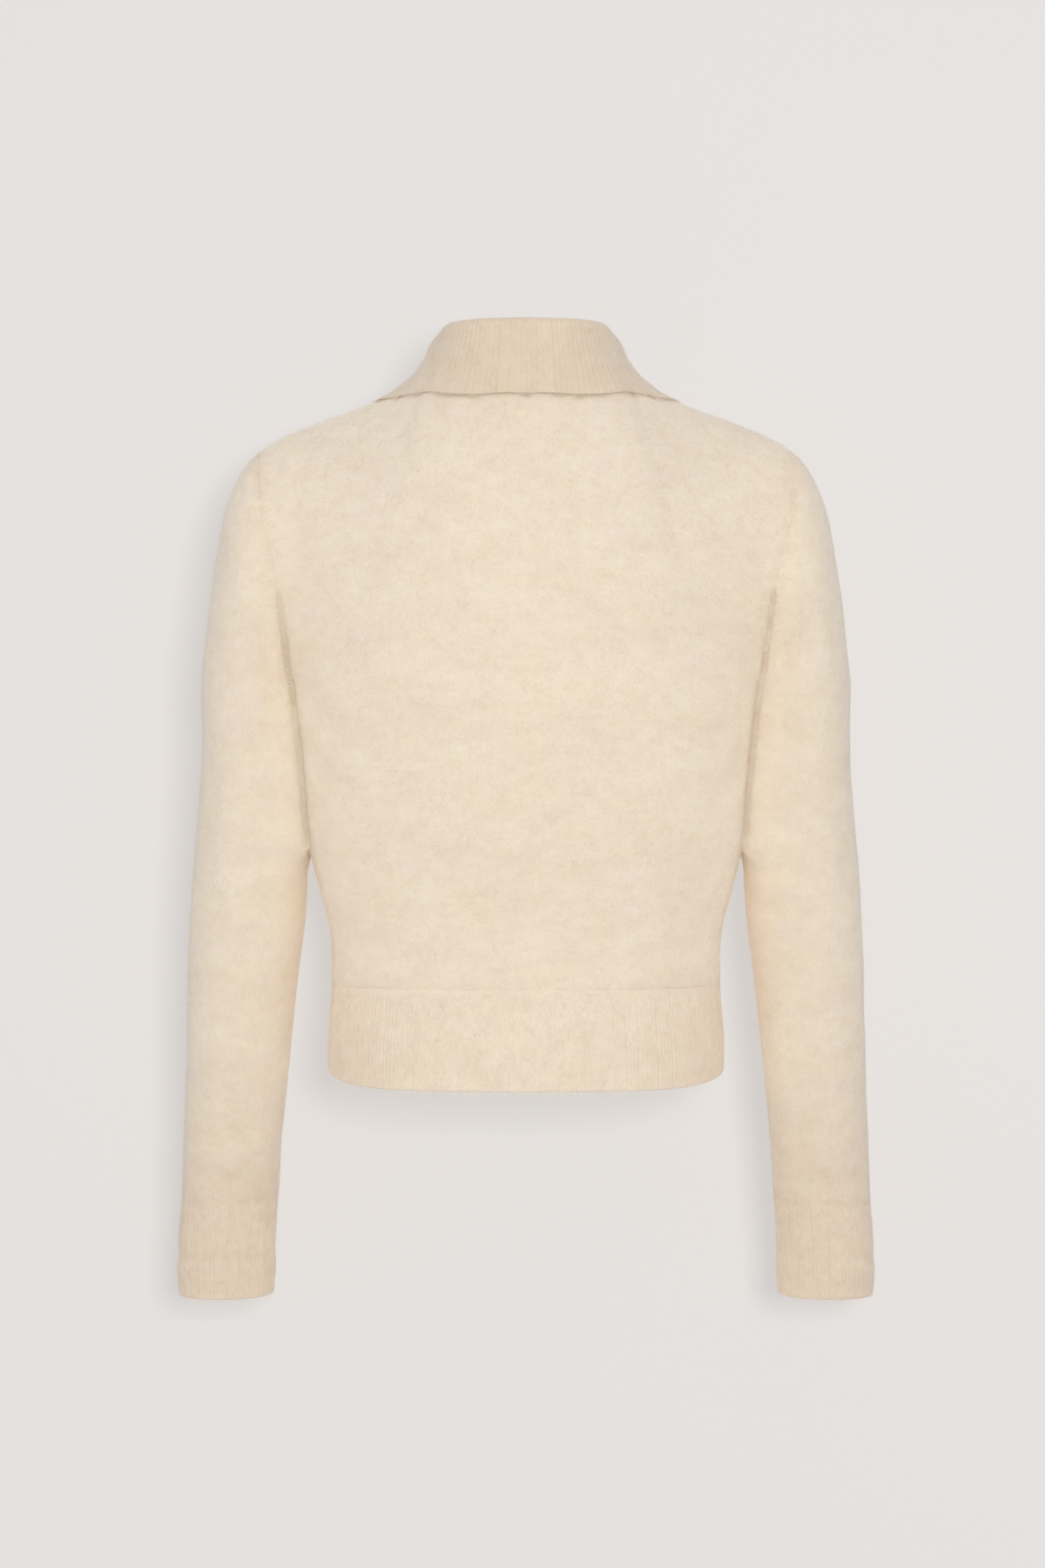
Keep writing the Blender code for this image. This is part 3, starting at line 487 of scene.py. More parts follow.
def crease_depth(points, creases):
    """How far each point sinks into the creases."""
    depth = np.zeros(points.shape[:-1])
    for crease in creases:
        start = np.array([crease.x0, crease.y0, crease.z0])
        along = np.array([crease.x1, crease.y1, crease.z1]) - start
        part = np.clip((points - start) @ along / (along @ along), 0.0, 1.0)
        away = np.linalg.norm(points - start - part[..., None] * along, axis=-1)
        taper = 0.25 + 0.75 * np.sin(math.pi * np.clip(part * 0.9 + 0.05, 0, 1)) ** 0.7
        lip = np.exp(-((away - 1.9 * crease.reach) / crease.reach) ** 2)
        depth += crease.depth * taper * (np.exp(-(away / crease.reach) ** 2) - 0.45 * lip)
    return depth


def seam_dip(grid, edges, depth=0.0005, reach=0.0028):
    """How far points beside sewn edges sink. edges names the grid's sides: low, high, left, right."""
    rows = np.repeat(mean_runs(grid)[:, None], grid.shape[1], 1)
    run = runs(grid, 1)
    away = {"low": rows, "high": rows[-1:] - rows, "left": run, "right": run[:, -1:] - run}
    dip = np.zeros(grid.shape[:2])
    for name in edges:
        dip = np.maximum(dip, depth * np.exp(-(away[name] / reach) ** 2))
    return dip


def grid_cells(rows, columns, wrap, turn, first=0):
    """The corners of a grid's cells, where its points are numbered from first."""
    row, col = np.meshgrid(np.arange(rows - 1), np.arange(columns if wrap else columns - 1), indexing="ij")
    after = (col + 1) % columns
    low = row * columns
    corners = [low + col, low + after, low + columns + after, low + columns + col]
    cells = np.stack(corners, -1).reshape(-1, 4) + first
    return (cells if turn > 0 else cells[:, ::-1]).tolist()


class Builder:
    """Collects the points, faces and texture places of one closed wall."""

    def __init__(self):
        self.points = []
        self.faces = []
        self.maps = []
        self.count = 0

    def add(self, points, maps):
        """Adds points with their texture places, and says the first one's number."""
        points = points.reshape(-1, 3)
        first = self.count
        self.points.append(points)
        self.maps.append(maps.reshape(-1, 2))
        self.count += len(points)
        return first

    def quads(self, first, rows, columns, wrap, turn):
        self.faces += grid_cells(rows, columns, wrap, turn, first)

    def rim(self, outer, inner, marks, flip):
        """Faces between an outer edge and an inner one, whose points face the outer ones at the marks."""
        for index in range(len(inner) - 1):
            low = marks[index]
            high = marks[index + 1]
            middle = (low + high) // 2
            fan = [(outer[step], outer[step + 1], inner[index]) for step in range(low, middle)]
            fan.append((outer[middle], inner[index + 1], inner[index]))
            fan += [(outer[step], outer[step + 1], inner[index + 1]) for step in range(middle, high)]
            self.faces += [tuple(reversed(face)) if flip else face for face in fan]


def strides(length, stride):
    """Indices from 0 to length - 1, about stride apart, with both ends."""
    count = max(round((length - 1) / stride), 1)
    return np.round(np.linspace(0, length - 1, count + 1)).astype(int)


def arc_map(grid):
    """Texture places in metres: along the rows from their middle, and up the columns."""
    run = runs(grid, 1)
    run = run - run[:, -1:] / 2
    widest = np.quantile(run[:, -1], 0.8) * 2
    share = run / np.maximum(run[:, -1:] * 2, 1e-6)
    return np.stack([share * widest, runs(grid)], -1)


def placed(name, data):
    """A new object in the scene."""
    item = bpy.data.objects.new(name, data)
    bpy.context.scene.collection.objects.link(item)
    return item


def cloth_piece(name, mesh):
    """A mesh as a piece of the sweater, on its one body."""
    item = placed(name, mesh)
    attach(item, "root")
    return item


def wall_mesh(name, made, material):
    """The mesh of a wall, smooth apart from its sharpest edges."""
    mesh = bpy.data.meshes.new(name)
    mesh.from_pydata(np.concatenate(made.points).tolist(), [], made.faces)
    corners = np.zeros(len(mesh.loops), np.int32)
    mesh.loops.foreach_get("vertex_index", corners)
    layer = mesh.uv_layers.new(name="Knit")
    layer.data.foreach_set("uv", np.concatenate(made.maps)[corners].astype(np.float32).ravel())
    mesh.polygons.foreach_set("use_smooth", [True] * len(mesh.polygons))
    mesh.set_sharp_from_angle(angle=math.radians(SHARP_ANGLE))
    mesh.materials.append(material)
    mesh.update()
    return mesh


Ground = namedtuple("Ground", "outer normals wrap slot")
grounds = {}  # what the fibres of each piece lie on
shells = {}  # each piece's wall


def wall(piece, kind, material, grid, outer, inner, normals, wrap, turn, free_edge=None,
         inner_columns=INNER_STRIDE, inner_rows=INNER_STRIDE):
    """One closed wall of cloth, in place of the solid of that name. The texture lies as on grid.

    free_edge is how thick the wall is at its first row, where the cloth ends free and is rounded off.
    """
    slot_name = "brushed_" + kind
    grounds[piece] = Ground(outer, normals, wrap, slot_name)
    made = Builder()
    maps = arc_map(grid)
    if free_edge:
        radius = free_edge / 2
        away = square_to(outer[0] - outer[1], normals[0])
        turns = []
        for degrees in (150, 120, 90, 60, 30):
            angle = math.radians(degrees)
            turns.append(outer[0] - normals[0] * radius * (1 - math.cos(angle))
                         + away * radius * (math.sin(angle) - 1))
        outer = np.concatenate([np.array(turns), (outer[0] - away * radius)[None], outer[1:]], 0)
        inner = np.concatenate([(inner[0] - away * radius)[None], inner[1:]], 0)
        maps = np.concatenate([np.repeat(maps[:1], len(turns), 0), maps], 0)
    rows, columns = outer.shape[:2]
    first = made.add(outer, maps)
    made.quads(first, rows, columns, wrap, turn)
    row_marks = strides(inner.shape[0], inner_rows)
    column_marks = np.arange(0, columns, inner_columns) if wrap else strides(columns, inner_columns)
    across = len(column_marks)
    kept = np.ix_(row_marks, column_marks)
    base = made.add(inner[kept], maps[-inner.shape[0]:][kept])
    made.quads(base, len(row_marks), across, wrap, -turn)
    for row, small_row, flip in ((0, 0, turn > 0), (rows - 1, len(row_marks) - 1, turn < 0)):
        out_edge = [first + row * columns + step for step in range(columns)]
        in_edge = [base + small_row * across + step for step in range(across)]
        marks = list(column_marks)
        if wrap:
            out_edge.append(out_edge[0])
            in_edge.append(in_edge[0])
            marks.append(columns)
        made.rim(out_edge, in_edge, marks, flip)
    if not wrap:
        marks = [0] + list(row_marks[1:] + (rows - inner.shape[0]))
        for step, small_step, flip in ((0, 0, turn < 0), (columns - 1, across - 1, turn > 0)):
            out_edge = [first + row * columns + step for row in range(rows)]
            in_edge = [base + row * across + small_step for row in range(len(row_marks))]
            made.rim(out_edge, in_edge, marks, flip)
    name = piece + "_" + kind
    shells[piece] = cloth_piece(name, wall_mesh(name, made, material))
    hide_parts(piece)


def new_material(name, settings):
    """A material whose shader has the given settings, with its node tree and that shader."""
    material = bpy.data.materials.new(name)
    material.use_nodes = True
    shader = material.node_tree.nodes["Principled BSDF"]
    for socket, level in settings.items():
        shader.inputs[socket].default_value = level
    return material, material.node_tree, shader


def mix(tree, factor, first, second, kind="MIX"):
    """A mix of two colours, each given as a colour or as a socket."""
    node = tree.nodes.new("ShaderNodeMix")
    node.data_type = "RGBA"
    node.blend_type = kind
    for socket, given in ((node.inputs[0], factor), (node.inputs[6], first), (node.inputs[7], second)):
        if isinstance(given, bpy.types.NodeSocket):
            tree.links.new(given, socket)
        elif isinstance(given, tuple):
            socket.default_value = (*given, 1.0)
        else:
            socket.default_value = given
    return node.outputs[2]


def math_node(tree, operation, *given):
    """The outcome of one operation on numbers or sockets."""
    node = tree.nodes.new("ShaderNodeMath")
    node.operation = operation
    for socket, item in zip(node.inputs, given):
        if isinstance(item, bpy.types.NodeSocket):
            tree.links.new(item, socket)
        else:
            socket.default_value = item
    return node.outputs[0]


def times(tree, *given):
    return math_node(tree, "MULTIPLY", *given)


def plus(tree, *given):
    return math_node(tree, "ADD", *given)


def noise(tree, vector, scale, detail=2.0, rough=0.5, stretch=None):
    """Noise over a vector, which is multiplied by stretch first."""
    if stretch:
        mapping = tree.nodes.new("ShaderNodeMapping")
        mapping.inputs["Scale"].default_value = stretch
        tree.links.new(vector, mapping.inputs["Vector"])
        vector = mapping.outputs["Vector"]
    node = tree.nodes.new("ShaderNodeTexNoise")
    node.inputs["Scale"].default_value = scale
    node.inputs["Detail"].default_value = detail
    node.inputs["Roughness"].default_value = rough
    tree.links.new(vector, node.inputs["Vector"])
    return node.outputs["Fac"]


def ramp(tree, value, low, high):
    """0 below low and 1 above high, with a straight rise between them."""
    node = tree.nodes.new("ShaderNodeMapRange")
    tree.links.new(value, node.inputs["Value"])
    node.inputs["From Min"].default_value = low
    node.inputs["From Max"].default_value = high
    return node.outputs["Result"]


WALE = 0.0031  # one stitch across
COURSE = 0.0024  # one stitch up
BODY_TO_SLEEVE_X = (0.152, 0.162)  # rib colours are painted shade on the hem's sides nearer the middle than this, and the cuffs' own tone beyond it


def soft_ramp(tree, value, low, high):
    """0 below low and 1 above high, with a smooth rise between them."""
    rise = ramp(tree, value, low, high)
    rise.node.interpolation_type = "SMOOTHSTEP"
    return rise


def rib_tone_and_hem_shade_share(tree, body):
    """How far the deeper colours have come in: the ribs' own tone down the sleeves' ends, and painted shade
    in the sides of the hem.
    """
    split = tree.nodes.new("ShaderNodeSeparateXYZ")
    tree.links.new(body, split.inputs[0])
    aside = math_node(tree, "ABSOLUTE", split.outputs[0])
    drop = times(tree, split.outputs[2], -1.0)
    # Painted shade: the hem darkens towards its sides, where its grooves would be seen aslant.
    hem_side_shade = times(tree, soft_ramp(tree, aside, 0.060, 0.135), soft_ramp(tree, drop, 0.430, 0.478))
    on_body = math_node(tree, "SUBTRACT", 1.0, soft_ramp(tree, aside, *BODY_TO_SLEEVE_X))
    hem_side_shade = times(tree, hem_side_shade, on_body)
    cuff_part = times(tree, soft_ramp(tree, drop, 0.490, 0.640), soft_ramp(tree, aside, *BODY_TO_SLEEVE_X))
    return plus(tree, hem_side_shade, cuff_part)


def cloth_colour(tree, body, shade, light, deep, rib_tone_and_shade_light, rib_tone_and_shade_deep):
    """deep to light by shade, going over to the two rib colours where those are given: the cuffs' own tone,
    and painted shade on the hem's sides.
    """
    if not rib_tone_and_shade_light:
        return mix(tree, shade, deep, light)
    rib_tone_and_shade = rib_tone_and_hem_shade_share(tree, body)
    return mix(tree, shade, mix(tree, rib_tone_and_shade, deep, rib_tone_and_shade_deep), mix(tree, rib_tone_and_shade, light, rib_tone_and_shade_light))


def knit_material(name, light, deep, stitch, nap, rib_tone_and_shade_light=None, rib_tone_and_shade_deep=None):
    """Brushed knit: loops under a mottled nap. stitch and nap are how far the loops and the fibres show."""
    material, tree, shader = new_material(name, {
        "Roughness": 0.92, "Specular IOR Level": 0.12, "Sheen Weight": 0.45, "Sheen Roughness": 0.5,
        "Sheen Tint": (0.90, 0.95, 1.0, 1.0)})
    place = tree.nodes.new("ShaderNodeTexCoord")
    body = place.outputs["Object"]
    knit = place.outputs["UV"]
    clouds = noise(tree, body, 24.0, 2.0, 0.5, (1.0, 1.0, 1.6))
    blotches = noise(tree, body, 78.0, 3.0, 0.55, (1.0, 1.0, 1.5))
    flecks = noise(tree, body, 240.0, 2.0, 0.6, (1.0, 1.0, 1.3))
    streaks = noise(tree, knit, 1.0, 3.0, 0.6, (190.0, 620.0, 1.0))
    fibres = noise(tree, knit, 1.0, 3.0, 0.65, (1500.0, 420.0, 1.0))
    patchy = times(tree, clouds, 0.26)
    for spots, share in ((blotches, 0.36), (flecks, 0.18), (streaks, 0.12), (fibres, 0.08)):
        patchy = plus(tree, patchy, times(tree, spots, share))
    shade = ramp(tree, patchy, 0.38, 0.62)
    colour = cloth_colour(tree, body, shade, light, deep, rib_tone_and_shade_light, rib_tone_and_shade_deep)
    tints = ramp(tree, noise(tree, body, 41.0, 2.0, 0.5, (1.0, 1.0, 1.4)), 0.35, 0.65)
    colour = mix(tree, 1.0, colour, mix(tree, tints, (1.0, 1.0, 0.965), (1.0, 0.985, 0.995)), "MULTIPLY")
    # Loops: each wale is a column of V shapes
    split = tree.nodes.new("ShaderNodeSeparateXYZ")
    tree.links.new(knit, split.inputs[0])
    wander = times(tree, math_node(tree, "SUBTRACT", noise(tree, knit, 90.0, 2.0), 0.5), 0.6)
    wale = plus(tree, math_node(tree, "DIVIDE", split.outputs[0], WALE), wander)
    across = math_node(tree, "PINGPONG", wale, 0.5)
    course = plus(tree, math_node(tree, "DIVIDE", split.outputs[1], COURSE), times(tree, across, 1.3))
    loops = math_node(tree, "SINE", times(tree, course, math.tau))
    edge = math_node(tree, "SINE", times(tree, across, math.tau))
    loops = plus(tree, times(tree, loops, 0.35), edge)
    # Painted shade: the colour goes deeper in the hollows between the loops, where the bump is lowest.
    colour = mix(tree, times(tree, ramp(tree, loops, 0.1, -0.7), 0.10 * stitch), colour, deep)
    tree.links.new(colour, shader.inputs["Base Color"])
    height = plus(tree, times(tree, loops, 0.5 * stitch), times(tree, fibres, 1.6 * nap))
    height = plus(tree, height, times(tree, blotches, 1.2 * nap))
    bump = tree.nodes.new("ShaderNodeBump")
    bump.inputs["Strength"].default_value = 0.55
    bump.inputs["Distance"].default_value = 0.0005
    tree.links.new(height, bump.inputs["Height"])
    tree.links.new(bump.outputs["Normal"], shader.inputs["Normal"])
    return material


def fibre_material(name, light, deep, rib_tone_and_shade_light=None, rib_tone_and_shade_deep=None):
    """The look of loose fibres and thread, too thin to show more than their colour."""
    material, tree, shader = new_material(name, {
        "Roughness": 0.85, "Specular IOR Level": 0.15, "Sheen Weight": 0.2})
    body = tree.nodes.new("ShaderNodeTexCoord").outputs["Object"]
    shade = ramp(tree, noise(tree, body, 78.0, 3.0, 0.55), 0.35, 0.65)
    colour = cloth_colour(tree, body, shade, light, deep, rib_tone_and_shade_light, rib_tone_and_shade_deep)
    tree.links.new(colour, shader.inputs["Base Color"])
    return material


BODY_LIGHT = (0.865, 0.765, 0.630)
BODY_DEEP = (0.800, 0.690, 0.552)
# The rib colours are the cuffs' own tone, and they also paint shade on the sides of the hem.
RIB_AND_HEM_SHADE_LIGHT = (0.820, 0.700, 0.560)
RIB_AND_HEM_SHADE_DEEP = (0.755, 0.623, 0.484)
COLLAR_LIGHT = (0.778, 0.656, 0.518)
COLLAR_DEEP = (0.716, 0.590, 0.455)
NAP_LIGHT = (0.895, 0.800, 0.668)
NAP_DEEP = (0.820, 0.708, 0.568)
# The ribs' nap colours also paint shade on the sides of the hem, as well as colouring the collar's nap.
RIB_NAP_AND_HEM_SHADE_LIGHT = (0.850, 0.735, 0.595)
RIB_NAP_AND_HEM_SHADE_DEEP = (0.775, 0.650, 0.510)
body_knit = knit_material("brushed_knit_look", BODY_LIGHT, BODY_DEEP, 0.8, 1.0, RIB_AND_HEM_SHADE_LIGHT, RIB_AND_HEM_SHADE_DEEP)
rib_knit = knit_material("brushed_rib_look", BODY_LIGHT, BODY_DEEP, 0.6, 0.9, RIB_AND_HEM_SHADE_LIGHT, RIB_AND_HEM_SHADE_DEEP)
collar_knit = knit_material("brushed_collar_look", COLLAR_LIGHT, COLLAR_DEEP, 0.6, 0.9)
body_fibre = fibre_material("nap_look", NAP_LIGHT, NAP_DEEP, RIB_NAP_AND_HEM_SHADE_LIGHT, RIB_NAP_AND_HEM_SHADE_DEEP)
collar_fibre = fibre_material("collar_nap_look", RIB_NAP_AND_HEM_SHADE_LIGHT, RIB_NAP_AND_HEM_SHADE_DEEP)
thread = fibre_material("linking_thread_look", (0.860, 0.755, 0.615), (0.800, 0.690, 0.545))


def away_from_edges(grid, wrap, reach):
    """0 at the grid's edges, rising to 1 at reach from them."""
    rows = runs(grid)
    near = np.minimum(rows, rows[-1:] - rows)
    if not wrap:
        run = runs(grid, 1)
        near = np.minimum(near, np.minimum(run, run[:, -1:] - run))
    return smoothstep(near / reach)


def relief(points, seed):
    """The unevenness of hand-brushed knit."""
    return 0.00045 * value_noise(points, 0.034, seed) + 0.00022 * value_noise(points, 0.011, seed + 5)


def plain_piece(name, grid, turn, wrap, creases, seams, seed, normals):
    """A piece of plain knit, with its creases and the dips beside its seams."""
    quiet = away_from_edges(grid, wrap, 0.010)
    moved = grid + normals * ((relief(grid, seed) - crease_depth(grid, creases)) * quiet)[..., None]
    outer = moved - normals * seam_dip(grid, seams)[..., None]
    wall(name, "knit", body_knit, grid, outer, moved - normals * WALL, normals, wrap, turn)


def surface_tree(grids):
    """A search tree of surfaces, each a grid and the way its cells turn."""
    points, faces = [], []
    for grid, turn in grids:
        faces += grid_cells(*grid.shape[:2], False, turn, len(points))
        points += grid.reshape(-1, 3).tolist()
    return BVHTree.FromPolygons(points, faces)


def flank_depth(height):
    """Half the sleeve's depth from front to back, by height above TOUCH_LOW_Z."""
    return 0.0470 + 0.070 * height


def press(grid):
    """Lays the inner side of the sleeve against the body below the underarm, where the two hang together."""
    lean = np.abs(grid[..., 1])
    drop = np.sqrt(np.maximum(1.0 - (lean / ARMHOLE_HALF_DEPTH) ** 2, 0.0))
    seam_z = ARMHOLE_MID_Z - ARMHOLE_HALF_HEIGHT * drop
    near = smoothstep((seam_z - 0.0004 - grid[..., 2]) / 0.005) * smoothstep((grid[..., 2] + 0.375) / 0.024)
    crest = flank_depth(np.clip(grid[..., 2] - TOUCH_LOW_Z, 0.0, 0.135))
    near *= (1.0 - smoothstep((lean / crest - 0.62) / 0.34)) * (grid[..., 0] < 0.206)
    moved = np.zeros(grid.shape[:2])
    for row, col in zip(*np.nonzero(near > 0.0)):
        spot = grid[row, col]
        start = Vector((spot[0] + 0.010, spot[1], spot[2]))
        hit = body_surface.ray_cast(start, Vector((-1.0, 0.0, 0.0)), 0.045)[0]
        if hit is not None:
            moved[row, col] = np.clip(spot[0] - hit.x - TOUCH_GAP, -0.001, TOUCH_MOST) * near[row, col]
    for _ in range(3):
        moved = (np.roll(moved, 1, 1) + 2 * moved + np.roll(moved, -1, 1)) / 4
        moved[1:-1] = (moved[:-2] + 2 * moved[1:-1] + moved[2:]) / 4
    moved[0] = 0.0
    grid[..., 0] -= moved


back_grid = panel(1)
front_grid = panel(-1)
body_surface = surface_tree([(back_grid, -1), (front_grid, 1)])
left_grid = sleeve()
press(left_grid)
back_normals = grid_normals(back_grid, False, -1)
front_normals = grid_normals(front_grid, False, 1)
left_normals = grid_normals(left_grid, True, 1)


def level_seams(grid, normals):
    """Makes the normals on the side and shoulder seams square to the seam's plane."""
    on_seam = np.abs(grid[..., 1]) < 1e-7
    normals[on_seam, 1] = 0.0
    normals[on_seam] = unit(normals[on_seam])


level_seams(back_grid, back_normals)
level_seams(front_grid, front_normals)

# Where a panel and a sleeve meet, both walls go in along the same normals
half = left_grid.shape[1] // 2
sleeve_phases = np.linspace(0.0, 1.0, half + 1)
edge_normals = {}
for facing, grid, normals in ((1, back_grid, back_normals), (-1, front_grid, front_normals)):
    first = int(np.argmin(np.abs(grid[:, -1, 2] - UNDERARM_Z)))
    edge = grid[first:, -1]
    angle = np.arccos(np.clip((ARMHOLE_MID_Z - edge[:, 2]) / ARMHOLE_HALF_HEIGHT, -1.0, 1.0)) / math.pi
    steps = np.arange(half + 1) if facing > 0 else np.r_[0, np.arange(2 * half - 1, half - 1, -1)]
    both = unit(along_line(sleeve_phases, angle, normals[first:, -1]) + left_normals[0, steps])
    both[[0, -1], 1] = 0.0
    both = unit(both)
    edge_normals[facing] = both
    normals[first:, -1] = along_line(angle, sleeve_phases, both)
    normals[first:, 0] = normals[first:, -1] * FLIP
left_normals[0, : half + 1] = edge_normals[1]
left_normals[0, half:] = edge_normals[-1][np.arange(half, 0, -1)]

plain_piece("back", back_grid, -1, False, BACK_CREASES, ("left", "right", "high"), 3, back_normals)
plain_piece("front", front_grid, 1, False, FRONT_CREASES, ("left", "right", "high"), 11, front_normals)
plain_piece("sleeve_left", left_grid, 1, True, LEFT_CREASES, ("low",), 19, left_normals)
plain_piece("sleeve_right", left_grid * FLIP, -1, True, RIGHT_CREASES, ("low",), 27, left_normals * FLIP)


def rib_profile(columns, depth, seed, grooves=(3, 6), strong=1.7):
    """How far each column sinks between the ribs, with a deeper valley every few ribs."""
    random = np.random.default_rng(seed)
    phase = np.arange(columns) / RIB_COLUMNS
    ribs = int(math.ceil(columns / RIB_COLUMNS)) + 1
    deep = 0.65 + 0.5 * random.random(ribs)
    spot = 0
    while spot < ribs:
        deep[spot] *= strong
        spot += int(random.integers(grooves[0], grooves[1]))
    nearest = np.round(phase).astype(int)
    shape = 1.0 - np.abs(np.sin(math.pi * phase)) ** 0.7
    return depth * shape * deep[np.clip(nearest, 0, ribs - 1)]


def to_hem_side(x):
    """0 in the middle of the hem and 1 at its sides."""
    return smoothstep((np.abs(x) - 0.050) / 0.070)


def hem(name, facing, seed):
    """One half of the hem rib, drawn up at the side seams."""
    shares = np.linspace(0.0, 1.0, HEM_RIBS * RIB_COLUMNS // 2 + 1)
    grid = np.array([both_halves(half_section(facing, height, shares))
                     for height in np.linspace(HEM_BOTTOM_Z, HEM_TOP_Z, HEM_STEPS + 1)])
    normals = grid_normals(grid, False, -facing)
    level_seams(grid, normals)
    rise = (grid[..., 2] - HEM_BOTTOM_Z) / (HEM_TOP_Z - HEM_BOTTOM_Z)
    grid[..., 2] += HEM_DRAW * (1.0 - smoothstep(np.abs(grid[..., 1]) / HEM_DRAW_REACH)) * (1.0 - rise) ** 2
    strength = 0.85 + 0.3 * value_noise(grid * RIB_LUMPS, 0.022, seed)
    strength = strength * (1.0 - 0.95 * smoothstep((rise - 0.86) / 0.14))
    strength = strength * (0.75 + 0.25 * smoothstep(rise / 0.05)) * (0.30 + 0.70 * to_hem_side(grid[..., 0]))
    dip = rib_profile(grid.shape[1], 0.00058, seed + 1)[None, :] * strength
    dip += seam_dip(grid, ("left", "right"), 0.0008, 0.0020)
    moved = grid + normals * (0.0005 * value_noise(grid, 0.045, seed + 2)
                              * smoothstep(1.0 - rise) * away_from_edges(grid, False, 0.012))[..., None]
    wall(name, "rib", rib_knit, grid, moved - normals * dip[..., None], moved - normals * RIB_WALL, normals,
         False, -facing, free_edge=RIB_WALL, inner_columns=8, inner_rows=4)


hem("hem_back", 1, 41)
hem("hem_front", -1, 47)


def cuff(name, flip, turn, seed):
    """One cuff, with a soft fold round it."""
    count = CUFF_RIBS * RIB_COLUMNS
    angles = math.tau * np.arange(count) / count
    rows = np.array([ring_points(place, angles) for place in CUFF])
    above = ring_points(SLEEVE[-2], angles)
    start = unit(rows[0] - above) * 0.5 + unit(rows[1] - rows[0]) * 0.5
    grid = refine(rows, row_counts(rows, CUFF_PITCH), start=start)[::-1] * flip
    normals = grid_normals(grid, True, -turn)
    drop = -(grid[..., 2] - grid[-1:, :, 2])
    length = drop[0].mean()
    strength = 0.85 + 0.3 * value_noise(grid * RIB_LUMPS, 0.018, seed)
    strength = strength * (0.05 + 0.95 * smoothstep(drop / 0.012))
    strength = strength * (0.75 + 0.25 * smoothstep((length - drop) / 0.004))
    dip = rib_profile(count, 0.00045, seed + 1, (3, 5))[None, :] * strength
    dip += 0.0004 * np.exp(-((drop - CUFF_FOLD) / 0.0028) ** 2)
    wall(name, "rib", rib_knit, grid, grid - normals * dip[..., None], grid - normals * RIB_WALL, normals,
         True, -turn, free_edge=RIB_WALL, inner_columns=8, inner_rows=3)


cuff("cuff_left", NO_FLIP, 1, 61)
cuff("cuff_right", FLIP, -1, 71)


def smooth_line(levels, times):
    """Evens a line of points or vectors that starts on the middle plane."""
    for _ in range(times):
        inside = (levels[:-2] + 2 * levels[1:-1] + levels[2:]) / 4
        start = (levels[:1] + (levels[1:2] + levels[1:2] * FLIP) / 2) / 2
        levels = np.concatenate([start, inside, levels[-1:]], 0)
        levels[0, 0] = 0.0
    return levels


def half_neckline():
    """Points, normals and sides of the neckline's left half, from the centre back to the opening's foot."""
    parts = []
    for facing, grid in ((1, back_grid), (-1, front_grid)):
        middle = HALF_STEPS * FINE
        points = grid[-1, middle: middle + NECK_STEPS * FINE + 1]
        coarse = both_halves(panel_rows(facing, 1))
        lift = coarse[-1] - coarse[-2]
        along = np.gradient(coarse[-1], axis=0)
        square = unit(np.cross(along, lift)) * -facing
        at = np.arange(coarse.shape[1]) - HALF_STEPS
        fine_at = np.arange(NECK_STEPS * FINE + 1) / FINE
        normals = along_line(fine_at, at, square)
        below = along_line(fine_at, at, coarse[-2])
        parts.append((points, normals, below))
    (back_points, back_square, back_below), (front_points, front_square, front_below) = parts
    points = np.concatenate([back_points, front_points[::-1][1:]], 0)
    join = len(back_points) - 1
    normals = np.concatenate([back_square, front_square[::-1][1:]], 0)
    both = unit(back_square[-1] + front_square[-1])
    both[1] = 0.0
    normals[join] = unit(both)
    normals = unit(smooth_line(normals, 24))
    below = np.concatenate([back_below, front_below[::-1][1:]], 0)
    along = np.gradient(points, axis=0)
    along[0] = [1.0, 0.0, 0.0]
    sides = unit(np.cross(along, normals))
    sides *= np.sign(np.sum(sides * (points - below), -1, keepdims=True))
    sides = unit(smooth_line(sides, 24))
    return points, normals, sides


